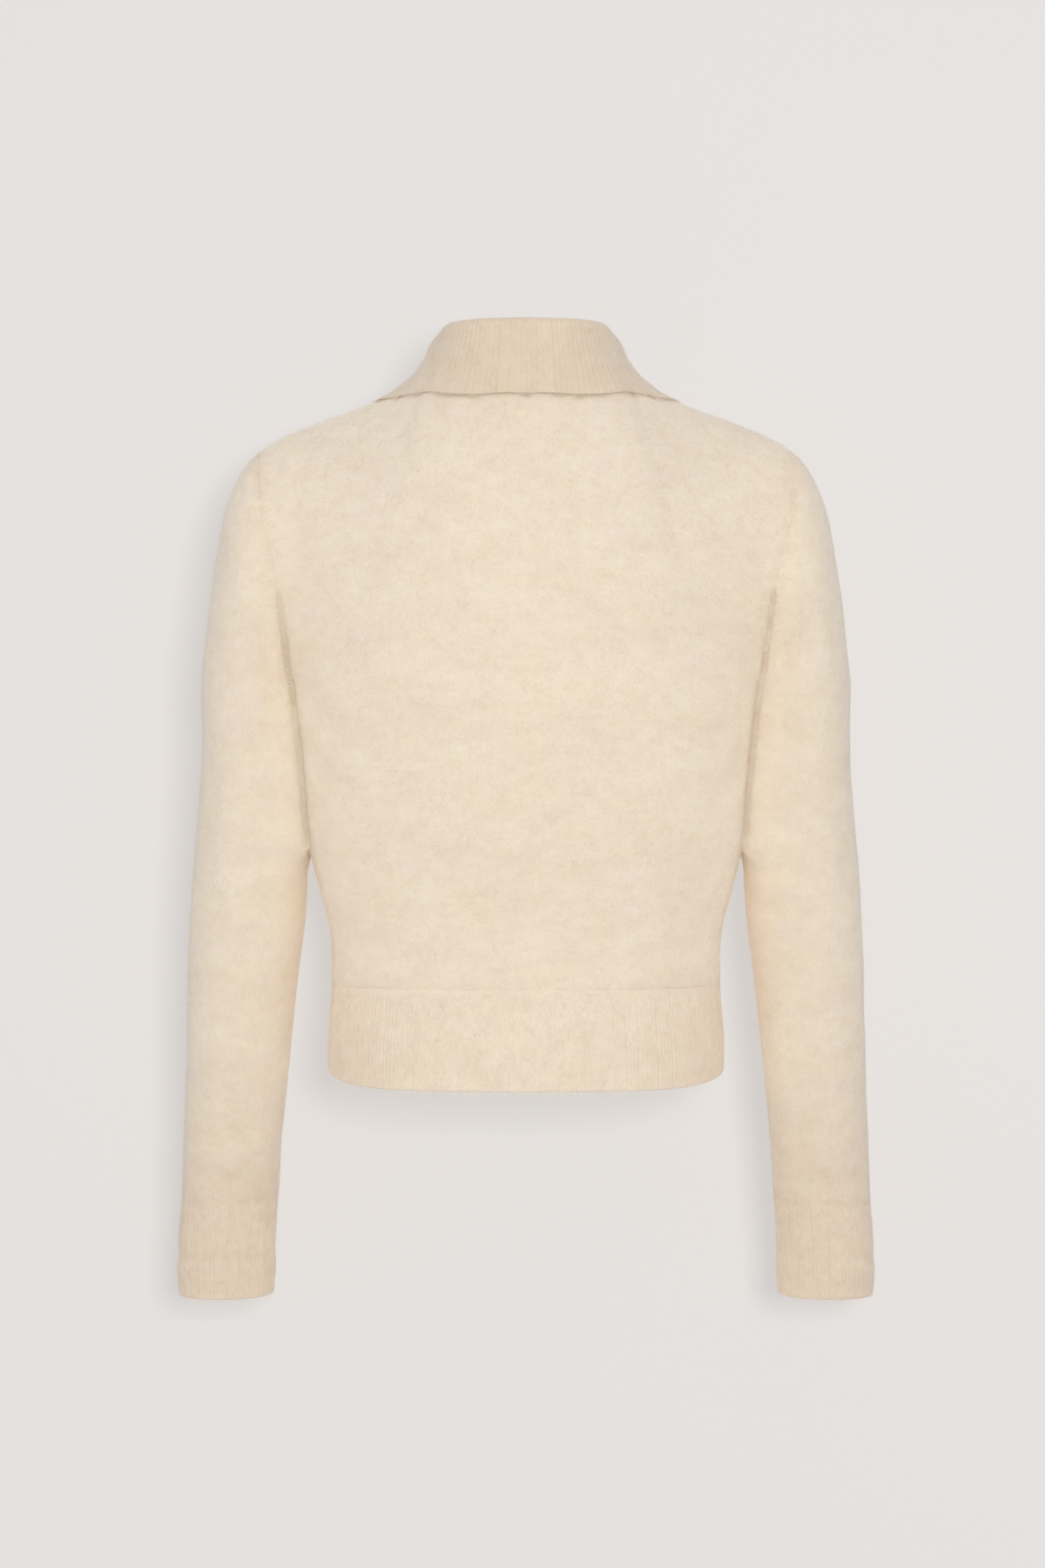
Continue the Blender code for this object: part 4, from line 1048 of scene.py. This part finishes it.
def collar():
    """The folded collar: a foot on the neckline, a stand, a roll, and a fall that lies on the body."""
    points, normals, sides = half_neckline()
    keep = int(np.nonzero(points[:, 0] > COLLAR_END_X)[0][-1])
    part = (points[keep, 0] - COLLAR_END_X) / (points[keep, 0] - points[keep + 1, 0])
    ends = [np.concatenate([line[: keep + 1], (line[keep] * (1 - part) + line[keep + 1] * part)[None]], 0)
            for line in (points, normals, sides)]
    run = runs(ends[0])
    total = run[-1]
    count = round(total / COLLAR_RIB) * RIB_COLUMNS
    at = np.linspace(0.0, total, count + 1)
    share = at / total
    foot_out, up, side = (along_line(at, run, line) for line in ends)
    up = unit(smooth_line(up, 8))
    side = unit(smooth_line(side, 8))
    inner_foot = foot_out - up * WALL
    fold = foot_out + up * column(COLLAR, "share", "off_body", share)[:, None]
    fold += side * column(COLLAR, "share", "in_neck", share)[:, None]
    edge = np.stack([column(COLLAR, "share", "edge_" + axis, share) for axis in "xyz"], -1)
    foot = inner_foot + side * FOOT_GAP
    rise = unit(fold - foot)
    over = square_to(edge - fold, rise)
    centre = fold - rise * ROLL_RADIUS
    lift = COLLAR_CLEAR + RIB_WALL
    tight = EDGE_CLEAR + EDGE_WALL

    def clear(spots, least):
        made = spots.copy()
        for index, spot in enumerate(spots):
            near, square, _, _ = body_surface.find_nearest(Vector(spot))
            short = least - (Vector(spot) - near).dot(square)
            if short > 0:
                made[index] += np.array(square) * short
        return made

    seat = np.empty_like(edge)
    for index, spot in enumerate(edge):
        near, square, _, _ = body_surface.find_nearest(Vector(spot))
        seat[index] = np.array(near + square * tight)
    roll = [centre + over * ROLL_RADIUS * math.sin(math.radians(angle))
            + rise * ROLL_RADIUS * math.cos(math.radians(angle)) for angle in (-65, -43, -22, 0, 22, 43, 65)]
    bow = STAND_BOW + FRONT_BOW * np.minimum(share / 0.5, 1.0)
    stand = (foot + roll[0]) / 2 - over * bow[:, None]
    chord = unit(seat - roll[-1])
    into = square_to(-over - rise, chord)
    sag = column(COLLAR, "share", "sag", share)[:, None]
    fall = [roll[-1] * (1 - way) + seat * way + into * sag * 4 * way * (1 - way)
            for way in (0.14, 0.28, 0.41, 0.54, 0.66, 0.78, 0.89)] + [seat]
    least = [lift + (tight - lift) * smoothstep((place + 1) / len(fall)) for place in range(len(fall))]
    fall = [clear(smooth_line(line, 4), short) for line, short in zip(fall, least)]
    # The free edge waves a little, as brushed rib does, and stands off the body in places
    wave = 0.0007 * value_noise(fall[-1], 0.0130, 91) + 0.0004 * value_noise(fall[-1], 0.0052, 92)
    stand_off = 0.0002 * np.maximum(value_noise(fall[-1], 0.0150, 93), 0.0)
    fall[-1] += chord * wave[:, None] - into * stand_off[:, None]
    fall[-2] += chord * (wave * 0.4)[:, None]
    rows = np.array([foot, stand] + roll + fall)
    grid = refine(rows, row_counts(rows, COLLAR_PITCH))
    return both_halves(grid)[::-1]


collar_grid = collar()
collar_normals = grid_normals(collar_grid, False, -1)


def collar_piece():
    """The collar's wall, which thins towards its free edge and its two ends."""
    grid = collar_grid
    normals = collar_normals
    rows = mean_runs(grid)
    strength = 0.8 + 0.35 * value_noise(grid, 0.02, 83)
    strength = strength * (0.35 + 0.65 * smoothstep((rows[-1] - rows) / 0.006))[:, None]
    half_ribs = rib_profile(grid.shape[1] // 2 + 1, 0.00060, 84, (3, 7), 1.4)
    dip = np.concatenate([half_ribs[:0:-1], half_ribs])[None, :] * strength
    run = runs(grid, 1)
    near = np.minimum(run, run[:, -1:] - run)
    thick = (EDGE_WALL + (RIB_WALL - EDGE_WALL) * smoothstep(rows / 0.010))[:, None]
    radius = thick / 2
    close = np.clip(near / radius, 0.0, 1.0)
    thin = radius * (1.0 - np.sqrt(np.maximum(1.0 - (1.0 - close) ** 2, 0.03)))
    outer = grid - normals * np.maximum(dip, thin)[..., None]
    wall("collar", "rib", collar_knit, grid, outer, grid - normals * (thick - thin)[..., None], normals,
         False, -1, free_edge=EDGE_WALL, inner_columns=4, inner_rows=2)


collar_piece()
on_cloth = {piece: [] for piece in shells}  # the fibres and stitches of each piece


def closeness(spots, line, reach):
    """1 on a line of close points, falling away over reach."""
    nearest = np.full(len(spots), np.inf)
    for point in line:
        nearest = np.minimum(nearest, np.sum((spots - point) ** 2, -1))
    return np.exp(-nearest / reach ** 2)


def fibre_object(name, root, middle, tip, flank, material):
    """Fibres as slim strips, pointed at both ends and bent in the middle, in one mesh."""
    count = len(root)
    points = np.stack([root, middle + flank, middle - flank, tip], 1)
    mesh = bpy.data.meshes.new(name)
    mesh.vertices.add(count * 4)
    mesh.vertices.foreach_set("co", points.astype(np.float32).ravel())
    start = np.arange(count)[:, None] * 4
    mesh.loops.add(count * 6)
    mesh.loops.foreach_set("vertex_index", (start + np.array([0, 1, 2, 1, 3, 2])).astype(np.int32).ravel())
    mesh.polygons.add(count * 2)
    mesh.polygons.foreach_set("loop_start", np.arange(0, count * 6, 3, dtype=np.int32))
    mesh.polygons.foreach_set("use_smooth", [True] * (count * 2))
    mesh.materials.append(material)
    mesh.update(calc_edges=True)
    mesh.validate()
    return cloth_piece(name, mesh)


def fuzz(name, piece, count, seed, weigh=None, length=(0.004, 0.009), rise=(0.0002, 0.0018), stand=1.5,
         spread=0.85):
    """Loose fibres of a piece's nap, as slim pointed strips that lie mostly down the cloth.

    weigh gives how thick the nap is at points, and rise the least and most that a tip stands off. A higher
    stand leaves fewer of them standing.
    """
    outer, normals, wrap, slot_name = grounds[piece]
    random = np.random.default_rng(seed)
    if wrap:
        outer = closed(outer)
        normals = closed(normals)
    across = outer[:-1, 1:] - outer[:-1, :-1]
    upward = outer[1:, :-1] - outer[:-1, :-1]
    share = np.linalg.norm(np.cross(across, upward), axis=-1).ravel()
    if weigh:
        share = share * weigh(((outer[:-1, :-1] + outer[1:, 1:]) / 2).reshape(-1, 3))
    cell = random.choice(len(share), size=count, p=share / share.sum())
    row, col = np.divmod(cell, across.shape[1])
    s, t = random.random((2, count))[..., None]

    def blend(grid):
        return (grid[row, col] * (1 - s) * (1 - t) + grid[row, col + 1] * s * (1 - t)
                + grid[row + 1, col] * (1 - s) * t + grid[row + 1, col + 1] * s * t)

    root = blend(outer)
    square = unit(blend(normals))
    down = unit(square * square[:, 2:] - np.array([0.0, 0.0, 1.0]) + 1e-6)
    aside = np.cross(square, down)
    angle = random.normal(0.0, spread, count)[:, None]
    heading = down * np.cos(angle) + aside * np.sin(angle)
    curl = np.cross(square, heading) * random.normal(0.0, 0.30, count)[:, None]
    reach = random.uniform(length[0], length[1], count)[:, None]
    lift = (rise[0] + random.random(count) ** stand * (rise[1] - rise[0]))[:, None]
    width = random.uniform(*NAP_HALF_WIDTH, count)[:, None]
    root = root - square * 0.0002
    middle = root + heading * reach * 0.5 + square * lift * 0.8 + curl * reach * 0.25
    tip = root + heading * reach + square * lift * random.uniform(0.5, 1.4, count)[:, None] + curl * reach
    flank = unit(np.cross(heading, square)) * width
    material = collar_fibre if piece == "collar" else body_fibre
    on_cloth[piece].append(fibre_object(name, root, middle, tip, flank, material))


def hem_nap(spots):
    """Thicker in the middle of the hem than at its sides."""
    return 1.0 + 1.6 * (1.0 - to_hem_side(spots[:, 0]))


for index, (piece, count, weigh) in enumerate((
        ("back", 54000, None), ("front", 36000, None), ("sleeve_left", 31000, None),
        ("sleeve_right", 31000, None), ("collar", 17000, None), ("hem_back", 13000, hem_nap),
        ("hem_front", 8000, hem_nap), ("cuff_left", 7000, None), ("cuff_right", 7000, None))):
    fuzz("nap_" + piece, piece, count, 200 + index, weigh)

# Where the sleeve touches the body, and along the armhole and the collar's edge, the two naps are tangled
touch_z = np.linspace(UNDERARM_Z, -0.358, 50)
touch_lines = {}
for facing, side_name in ((1, "back"), (-1, "front")):
    depth = column(TORSO, "z", side_name, touch_z)
    lean = 0.75 * flank_depth(touch_z - TOUCH_LOW_Z)
    inwards = (1.0 - (lean / depth) ** TORSO_POWER) ** (1 / TORSO_POWER)
    touch_x = column(TORSO, "z", "half_width", touch_z) * inwards
    touch_lines[facing] = np.concatenate([np.stack([touch_x, facing * lean, touch_z], -1),
                                          armhole(np.linspace(0.12, 0.9, 60), facing)])
both_lines = np.concatenate([touch_lines[1], touch_lines[-1]])


def near_lines(lines):
    """Weighs the nap by how near it is to lines given on the left half."""
    def weigh(spots):
        return closeness(np.abs(spots * [1.0, 0.0, 0.0]) + spots * [0.0, 1.0, 1.0], lines, 0.006)
    return weigh


for index, (piece, lines) in enumerate((("back", touch_lines[1]), ("front", touch_lines[-1]),
                                       ("sleeve_left", both_lines), ("sleeve_right", both_lines))):
    fuzz("tangle_" + piece, piece, 3500, 240 + index, near_lines(lines), length=(0.003, 0.008),
         rise=(0.0003, 0.0024), stand=1.0, spread=1.1)
edge_line = collar_grid[0, ::3]
fuzz("tangle_collar", "collar", 8000, 250, lambda spots: closeness(spots, edge_line, 0.0020),
     length=(0.0015, 0.0040), rise=(-0.0014, 0.0003), stand=1.0, spread=0.7)


def in_tufts(spots):
    """Along the collar's edge in tufts some millimetres long, with less between them."""
    tufts = smoothstep((value_noise(spots, 0.0080, 95) + 0.05) / 0.4)
    return closeness(spots, edge_line, 0.0020) * (0.12 + tufts)


for index, (piece, count) in enumerate((("back", 4400), ("front", 1600))):
    fuzz("tangle_%s_collar" % piece, piece, count, 255 + index, in_tufts, length=(0.0022, 0.0045),
         rise=(0.0012, 0.0024), stand=1.0, spread=1.4)
for index, (piece, count) in enumerate((("back", 3600), ("front", 3000),
                                       ("sleeve_left", 1900), ("sleeve_right", 1900))):
    joint = grounds[piece].outer[0 if index < 2 else -1, ::2]
    fuzz("tangle_%s_end" % piece, piece, count, 260 + index, lambda spots: closeness(spots, joint, 0.0024),
         length=(0.003, 0.007), rise=(0.0000, 0.0004), stand=1.0, spread=0.7)


def underarm_tangle(side, flip, count, seed):
    """Fibres from the body to the sleeve across the crease between them, from its bottom out."""
    random = np.random.default_rng(seed)
    levels = np.linspace(-0.353, -0.165, 48)
    gaps = np.linspace(0.0002, 0.0070, 15)
    body = surface_tree([(grounds["back"].outer, -1), (grounds["front"].outer, 1)])
    arm = surface_tree([(closed(grounds["sleeve_" + side].outer), 1)])
    roots, middles, tips = [], [], []
    for facing in (1, -1):
        table = np.zeros((len(levels), len(gaps), 3))
        for index, height in enumerate(levels):
            seam_y = 0.0
            if height > UNDERARM_Z:
                rise = (height - ARMHOLE_MID_Z) / ARMHOLE_HALF_HEIGHT
                seam_y = ARMHOLE_HALF_DEPTH * math.sqrt(1.0 - rise ** 2)
            bottom = max(0.58 * flank_depth(height - TOUCH_LOW_Z), seam_y - 0.0005)
            trail = [(0.0, bottom, None, None)]
            for step in range(40):
                y = facing * (bottom + step * 0.0005)
                on_body = body.ray_cast(Vector((0.30 * flip[0], y, height)), Vector((-flip[0], 0, 0)), 0.4)[0]
                on_arm = arm.ray_cast(Vector((0.10 * flip[0], y, height)), Vector((flip[0], 0, 0)), 0.3)[0]
                if on_body is None or on_arm is None:
                    continue
                gap = abs(on_arm.x) - abs(on_body.x)
                if gap <= trail[-1][0] or trail[0][2] is None:
                    trail = [(gap, abs(y), on_body.x, on_arm.x)]
                elif gap > trail[-1][0]:
                    trail.append((gap, abs(y), on_body.x, on_arm.x))
            trail = np.array([row for row in trail if row[2] is not None])
            for axis in range(3):
                table[index, :, axis] = np.interp(gaps, trail[:, 0], trail[:, axis + 1])
        at = random.random(count) * (len(levels) - 1.001)
        row = at.astype(int)
        part = (at - row)[:, None]
        wide = random.random(count) ** 1.3 * (len(gaps) - 1.001)
        col = wide.astype(int)
        rest = (wide - col)[:, None]
        spot = (table[row, col] * (1 - part) * (1 - rest) + table[row + 1, col] * part * (1 - rest)
                + table[row, col + 1] * (1 - part) * rest + table[row + 1, col + 1] * part * rest)
        height = levels[row] + part[:, 0] * (levels[1] - levels[0])
        slant = random.normal(0.0, 0.0036, (2, count))
        lean = facing * (spot[:, 0] + random.normal(0.0, 0.0004, count))
        first = np.stack([spot[:, 1] - flip[0] * 0.0012, lean, height + slant[0]], -1)
        last = np.stack([spot[:, 2] + flip[0] * 0.0012, lean, height + slant[1]], -1)
        swap = random.random(count)[:, None] < 0.5
        roots.append(np.where(swap, first, last))
        tips.append(np.where(swap, last, first))
        bulge = np.zeros((count, 3))
        bulge[:, 1] = facing * random.uniform(-0.0002, 0.0009, count)
        middles.append((first + last) / 2 + bulge)
    root, middle, tip = (np.concatenate(line) for line in (roots, middles, tips))
    width = random.uniform(*TANGLE_HALF_WIDTH, len(root))[:, None]
    flank = unit(np.cross(tip - root, np.array([0.0, 1.0, 0.0])) + 1e-9) * width
    on_cloth["sleeve_" + side].append(
        fibre_object("tangle_underarm_" + side, root, middle, tip, flank, body_fibre))


underarm_tangle("left", NO_FLIP, 3500, 271)
underarm_tangle("right", FLIP, 3500, 272)


def stitches(piece, grid, normals, seams, seed):
    """Linking stitches across a piece's seams, each given by its place on the grid and how far they sink."""
    random = np.random.default_rng(seed)
    spots, squares, alongs = [], [], []
    for place, sink in seams:
        points = grid[place]
        run = runs(points)
        at = np.arange(WALE / 2, run[-1], WALE)
        spot, square, ahead = (along_line(at, run, line)
                               for line in (points, normals[place], np.gradient(points, axis=0)))
        square = unit(square)
        spots.append(spot - square * sink)
        squares.append(square)
        alongs.append(square_to(ahead, square))
    spot, square, along = (np.concatenate(line) for line in (spots, squares, alongs))
    count = len(spot)
    lean = random.normal(0.42, 0.06, count)[:, None]
    heading = np.cross(square, along) * np.cos(lean) + along * np.sin(lean)
    flank = np.cross(square, heading)
    reach = random.uniform(*STITCH_HALF_LENGTH, count)[:, None]
    rings = [spot - heading * reach - square * 0.0002]
    for share, thick, rise in ((-0.55, 0.00013, 0.00008), (0.0, 0.00017, 0.00014), (0.55, 0.00013, 0.00008)):
        middle = spot + heading * reach * share + square * rise
        rings += [middle + (flank * across + square * up) * thick
                  for across, up in ((1, 0), (0, 1), (-1, 0), (0, -1))]
    rings.append(spot + heading * reach - square * 0.0002)
    points = np.stack(rings, 1).reshape(-1, 3)
    faces = []
    for index in range(count):
        base = index * len(rings)
        for turn in range(4):
            after = (turn + 1) % 4
            faces.append((base, base + 1 + after, base + 1 + turn))
            for ring in (1, 5):
                low, high = base + ring, base + ring + 4
                faces.append((low + turn, low + after, high + after, high + turn))
            faces.append((base + 9 + turn, base + 9 + after, base + 13))
    mesh = bpy.data.meshes.new("stitches_" + piece)
    mesh.from_pydata(points.tolist(), [], faces)
    mesh.polygons.foreach_set("use_smooth", [True] * len(mesh.polygons))
    mesh.materials.append(thread)
    mesh.update()
    on_cloth[piece].append(cloth_piece("stitches_" + piece, mesh))


for side, flip in (("left", NO_FLIP), ("right", FLIP)):
    stitches("sleeve_" + side, closed(left_grid) * flip, closed(left_normals) * flip,
             [(0, SEAM_SINK), (-1, RIB_SEAM_SINK)], 281)
neck = NECK_STEPS * FINE
middle = HALF_STEPS * FINE
side_rows = int(np.argmin(np.abs(back_grid[:, -1, 2] - UNDERARM_Z))) + 1
stitches("back", back_grid, back_normals, [
    (np.s_[-1, middle + neck:], SEAM_SINK), (np.s_[-1, :middle - neck + 1], SEAM_SINK),
    (np.s_[:side_rows, -1], SEAM_SINK), (np.s_[:side_rows, 0], SEAM_SINK), (0, RIB_SEAM_SINK)], 283)
stitches("front", front_grid, front_normals, [(0, RIB_SEAM_SINK)], 284)

# The fields of a piece of cloth as it was cut, all round on a sleeve or cuff
Cut = namedtuple("Cut", "piece width length area held rests_on")


def area_light(name, place, aim, size, power, colour):
    """A square lamp that faces a point."""
    light = bpy.data.lights.new(name, "AREA")
    light.shape = "SQUARE"
    light.size = size
    light.energy = power
    light.color = colour
    item = placed(name, light)
    item.location = place
    item.rotation_euler = (Vector(aim) - Vector(place)).to_track_quat("-Z", "Y").to_euler()
    return item


KEY_POWER = 36.0
SHADE_POWER = 105.0
TRUNK_FILL = 4.0
ARM_FILL = 5.2
GARMENT_MIDDLE = (0.0, 0.0, -0.32)
FLANK_Z = -0.40
FLANK_COLOUR = (1.0, 0.90, 0.78)
SKY_AHEAD = (0.78, 0.775, 0.775)
SKY_ASIDE = (0.52, 0.545, 0.58)
key, front_key = (area_light(name, (0.0, y, 0.10), GARMENT_MIDDLE, 1.6, KEY_POWER, (1.0, 0.995, 0.985))
                  for name, y in (("key", 3.0), ("front_key", -3.0)))
shade_key = area_light("shade_key", (-0.38, 3.0, -0.085), GARMENT_MIDDLE, 0.55, SHADE_POWER, (1.0, 1.0, 1.0))


def light_group(name, pieces):
    """A collection of pieces, with their fibres and stitches, for a light to reach or be stopped by."""
    group = bpy.data.collections.new(name)
    for piece in pieces:
        for item in [shells[piece]] + on_cloth[piece]:
            group.objects.link(item)
    return group


def flank_light(name, side, facing, power, lit, stopped):
    """Faint fill that grazes flanks which face each other across the gap between the body and a sleeve."""
    light = area_light(name, (side * 1.5, -facing * 0.5, FLANK_Z), (0.0, 0.0, FLANK_Z), 0.8, power,
                       FLANK_COLOUR)
    light.visible_camera = False
    light.light_linking.receiver_collection = lit
    light.light_linking.blocker_collection = stopped


trunk = light_group("trunk", ("back", "front", "hem_back", "hem_front"))
for facing, face in ((1, "back"), (-1, "front")):
    half_trunk = light_group("trunk_" + face, (face, "hem_" + face))
    for side, hand in ((1, "left"), (-1, "right")):
        flank_light("flank_%s_%s" % (face, hand), side, facing, TRUNK_FILL, half_trunk, trunk)
for side, hand in ((-1, "left"), (1, "right")):
    arm = light_group("arm_" + hand, ("sleeve_" + hand, "cuff_" + hand))
    flank_light("flank_arm_" + hand, side, 1, ARM_FILL, arm, arm)

world = bpy.data.worlds.new("studio")
bpy.context.scene.world = world
world.use_nodes = True
tree = world.node_tree
sky = tree.nodes["Background"]
parts = tree.nodes.new("ShaderNodeSeparateXYZ")
tree.links.new(tree.nodes.new("ShaderNodeTexCoord").outputs["Generated"], parts.inputs[0])
sideways = soft_ramp(tree, math_node(tree, "ABSOLUTE", parts.outputs[0]), 0.25, 1.0)
tree.links.new(mix(tree, sideways, SKY_AHEAD, SKY_ASIDE), sky.inputs["Color"])
sky.inputs["Strength"].default_value = 1.0

camera_data = bpy.data.cameras.new("camera")
camera_data.lens = 73.4
camera_data.sensor_width = 36.0
camera = placed("camera", camera_data)
camera.location = (0.0026, 2.4, -0.307)
camera.rotation_euler = (math.radians(90.0), 0.0, math.radians(180.0))
bpy.context.scene.camera = camera
bpy.context.scene.view_settings.view_transform = "Standard"


def stage_material(name, colour):
    """A dull material for the floor and the backdrop, with its node tree and shader."""
    return new_material(name, {"Base Color": (*colour, 1.0), "Roughness": 1.0, "Specular IOR Level": 0.0})


def plane(name, points, material):
    """A four-cornered piece of the stage."""
    mesh = bpy.data.meshes.new(name)
    mesh.from_pydata(points, [], [(0, 1, 2, 3)])
    mesh.materials.append(material)
    item = placed(name, mesh)
    return item


FLOOR_Z = -0.97
BACKDROP_Y = -0.145
BACKDROP_TOP_Z = 0.75
BACKDROP_HALF_WIDTH = 1.35
FLOOR_HALF_WIDTH = 6.0
floor = plane("floor", [(x * FLOOR_HALF_WIDTH, y * FLOOR_HALF_WIDTH, FLOOR_Z)
                        for x, y in ((-1, -1), (1, -1), (1, 1), (-1, 1))],
              stage_material("floor_pale", (0.93, 0.915, 0.90))[0])

BACKDROP = (0.776, 0.747, 0.726)
BACKDROP_GLOW = 0.72  # its own light, which keeps the shadows on it faint
BACKDROP_SHARE = 0.18  # how much it takes of the light that falls on it
backdrop, tree, plain = stage_material("backdrop_pale", tuple(level * BACKDROP_SHARE for level in BACKDROP))
plain.inputs["Emission Color"].default_value = (*BACKDROP, 1.0)
plain.inputs["Emission Strength"].default_value = BACKDROP_GLOW
output = next(node for node in tree.nodes if node.type == "OUTPUT_MATERIAL")
clear_shader = tree.nodes.new("ShaderNodeBsdfTransparent")
faces = tree.nodes.new("ShaderNodeNewGeometry")
spot = tree.nodes.new("ShaderNodeSeparateXYZ")
tree.links.new(faces.outputs["Position"], spot.inputs[0])
fade = ramp(tree, math_node(tree, "ABSOLUTE", spot.outputs[0]), 0.95, 1.35)
fade = math_node(tree, "MAXIMUM", fade, faces.outputs["Backfacing"])
blend_shader = tree.nodes.new("ShaderNodeMixShader")
tree.links.new(fade, blend_shader.inputs[0])
tree.links.new(plain.outputs[0], blend_shader.inputs[1])
tree.links.new(clear_shader.outputs[0], blend_shader.inputs[2])
tree.links.new(blend_shader.outputs[0], output.inputs["Surface"])
screen = plane("backdrop", [(x * BACKDROP_HALF_WIDTH, BACKDROP_Y, z) for x, z in (
    (1, FLOOR_Z), (-1, FLOOR_Z), (-1, BACKDROP_TOP_Z), (1, BACKDROP_TOP_Z))], backdrop)
screen.visible_shadow = False
stage_lit = bpy.data.collections.new("stage_lit")
stage_lit.objects.link(screen)
shade_key.light_linking.receiver_collection = stage_lit
cloth_lit = bpy.data.collections.new("cloth_lit")
for item in (screen, floor):
    cloth_lit.objects.link(item)
for linked in cloth_lit.collection_objects:
    linked.light_linking.link_state = "EXCLUDE"
key.light_linking.receiver_collection = cloth_lit
front_key.light_linking.receiver_collection = cloth_lit
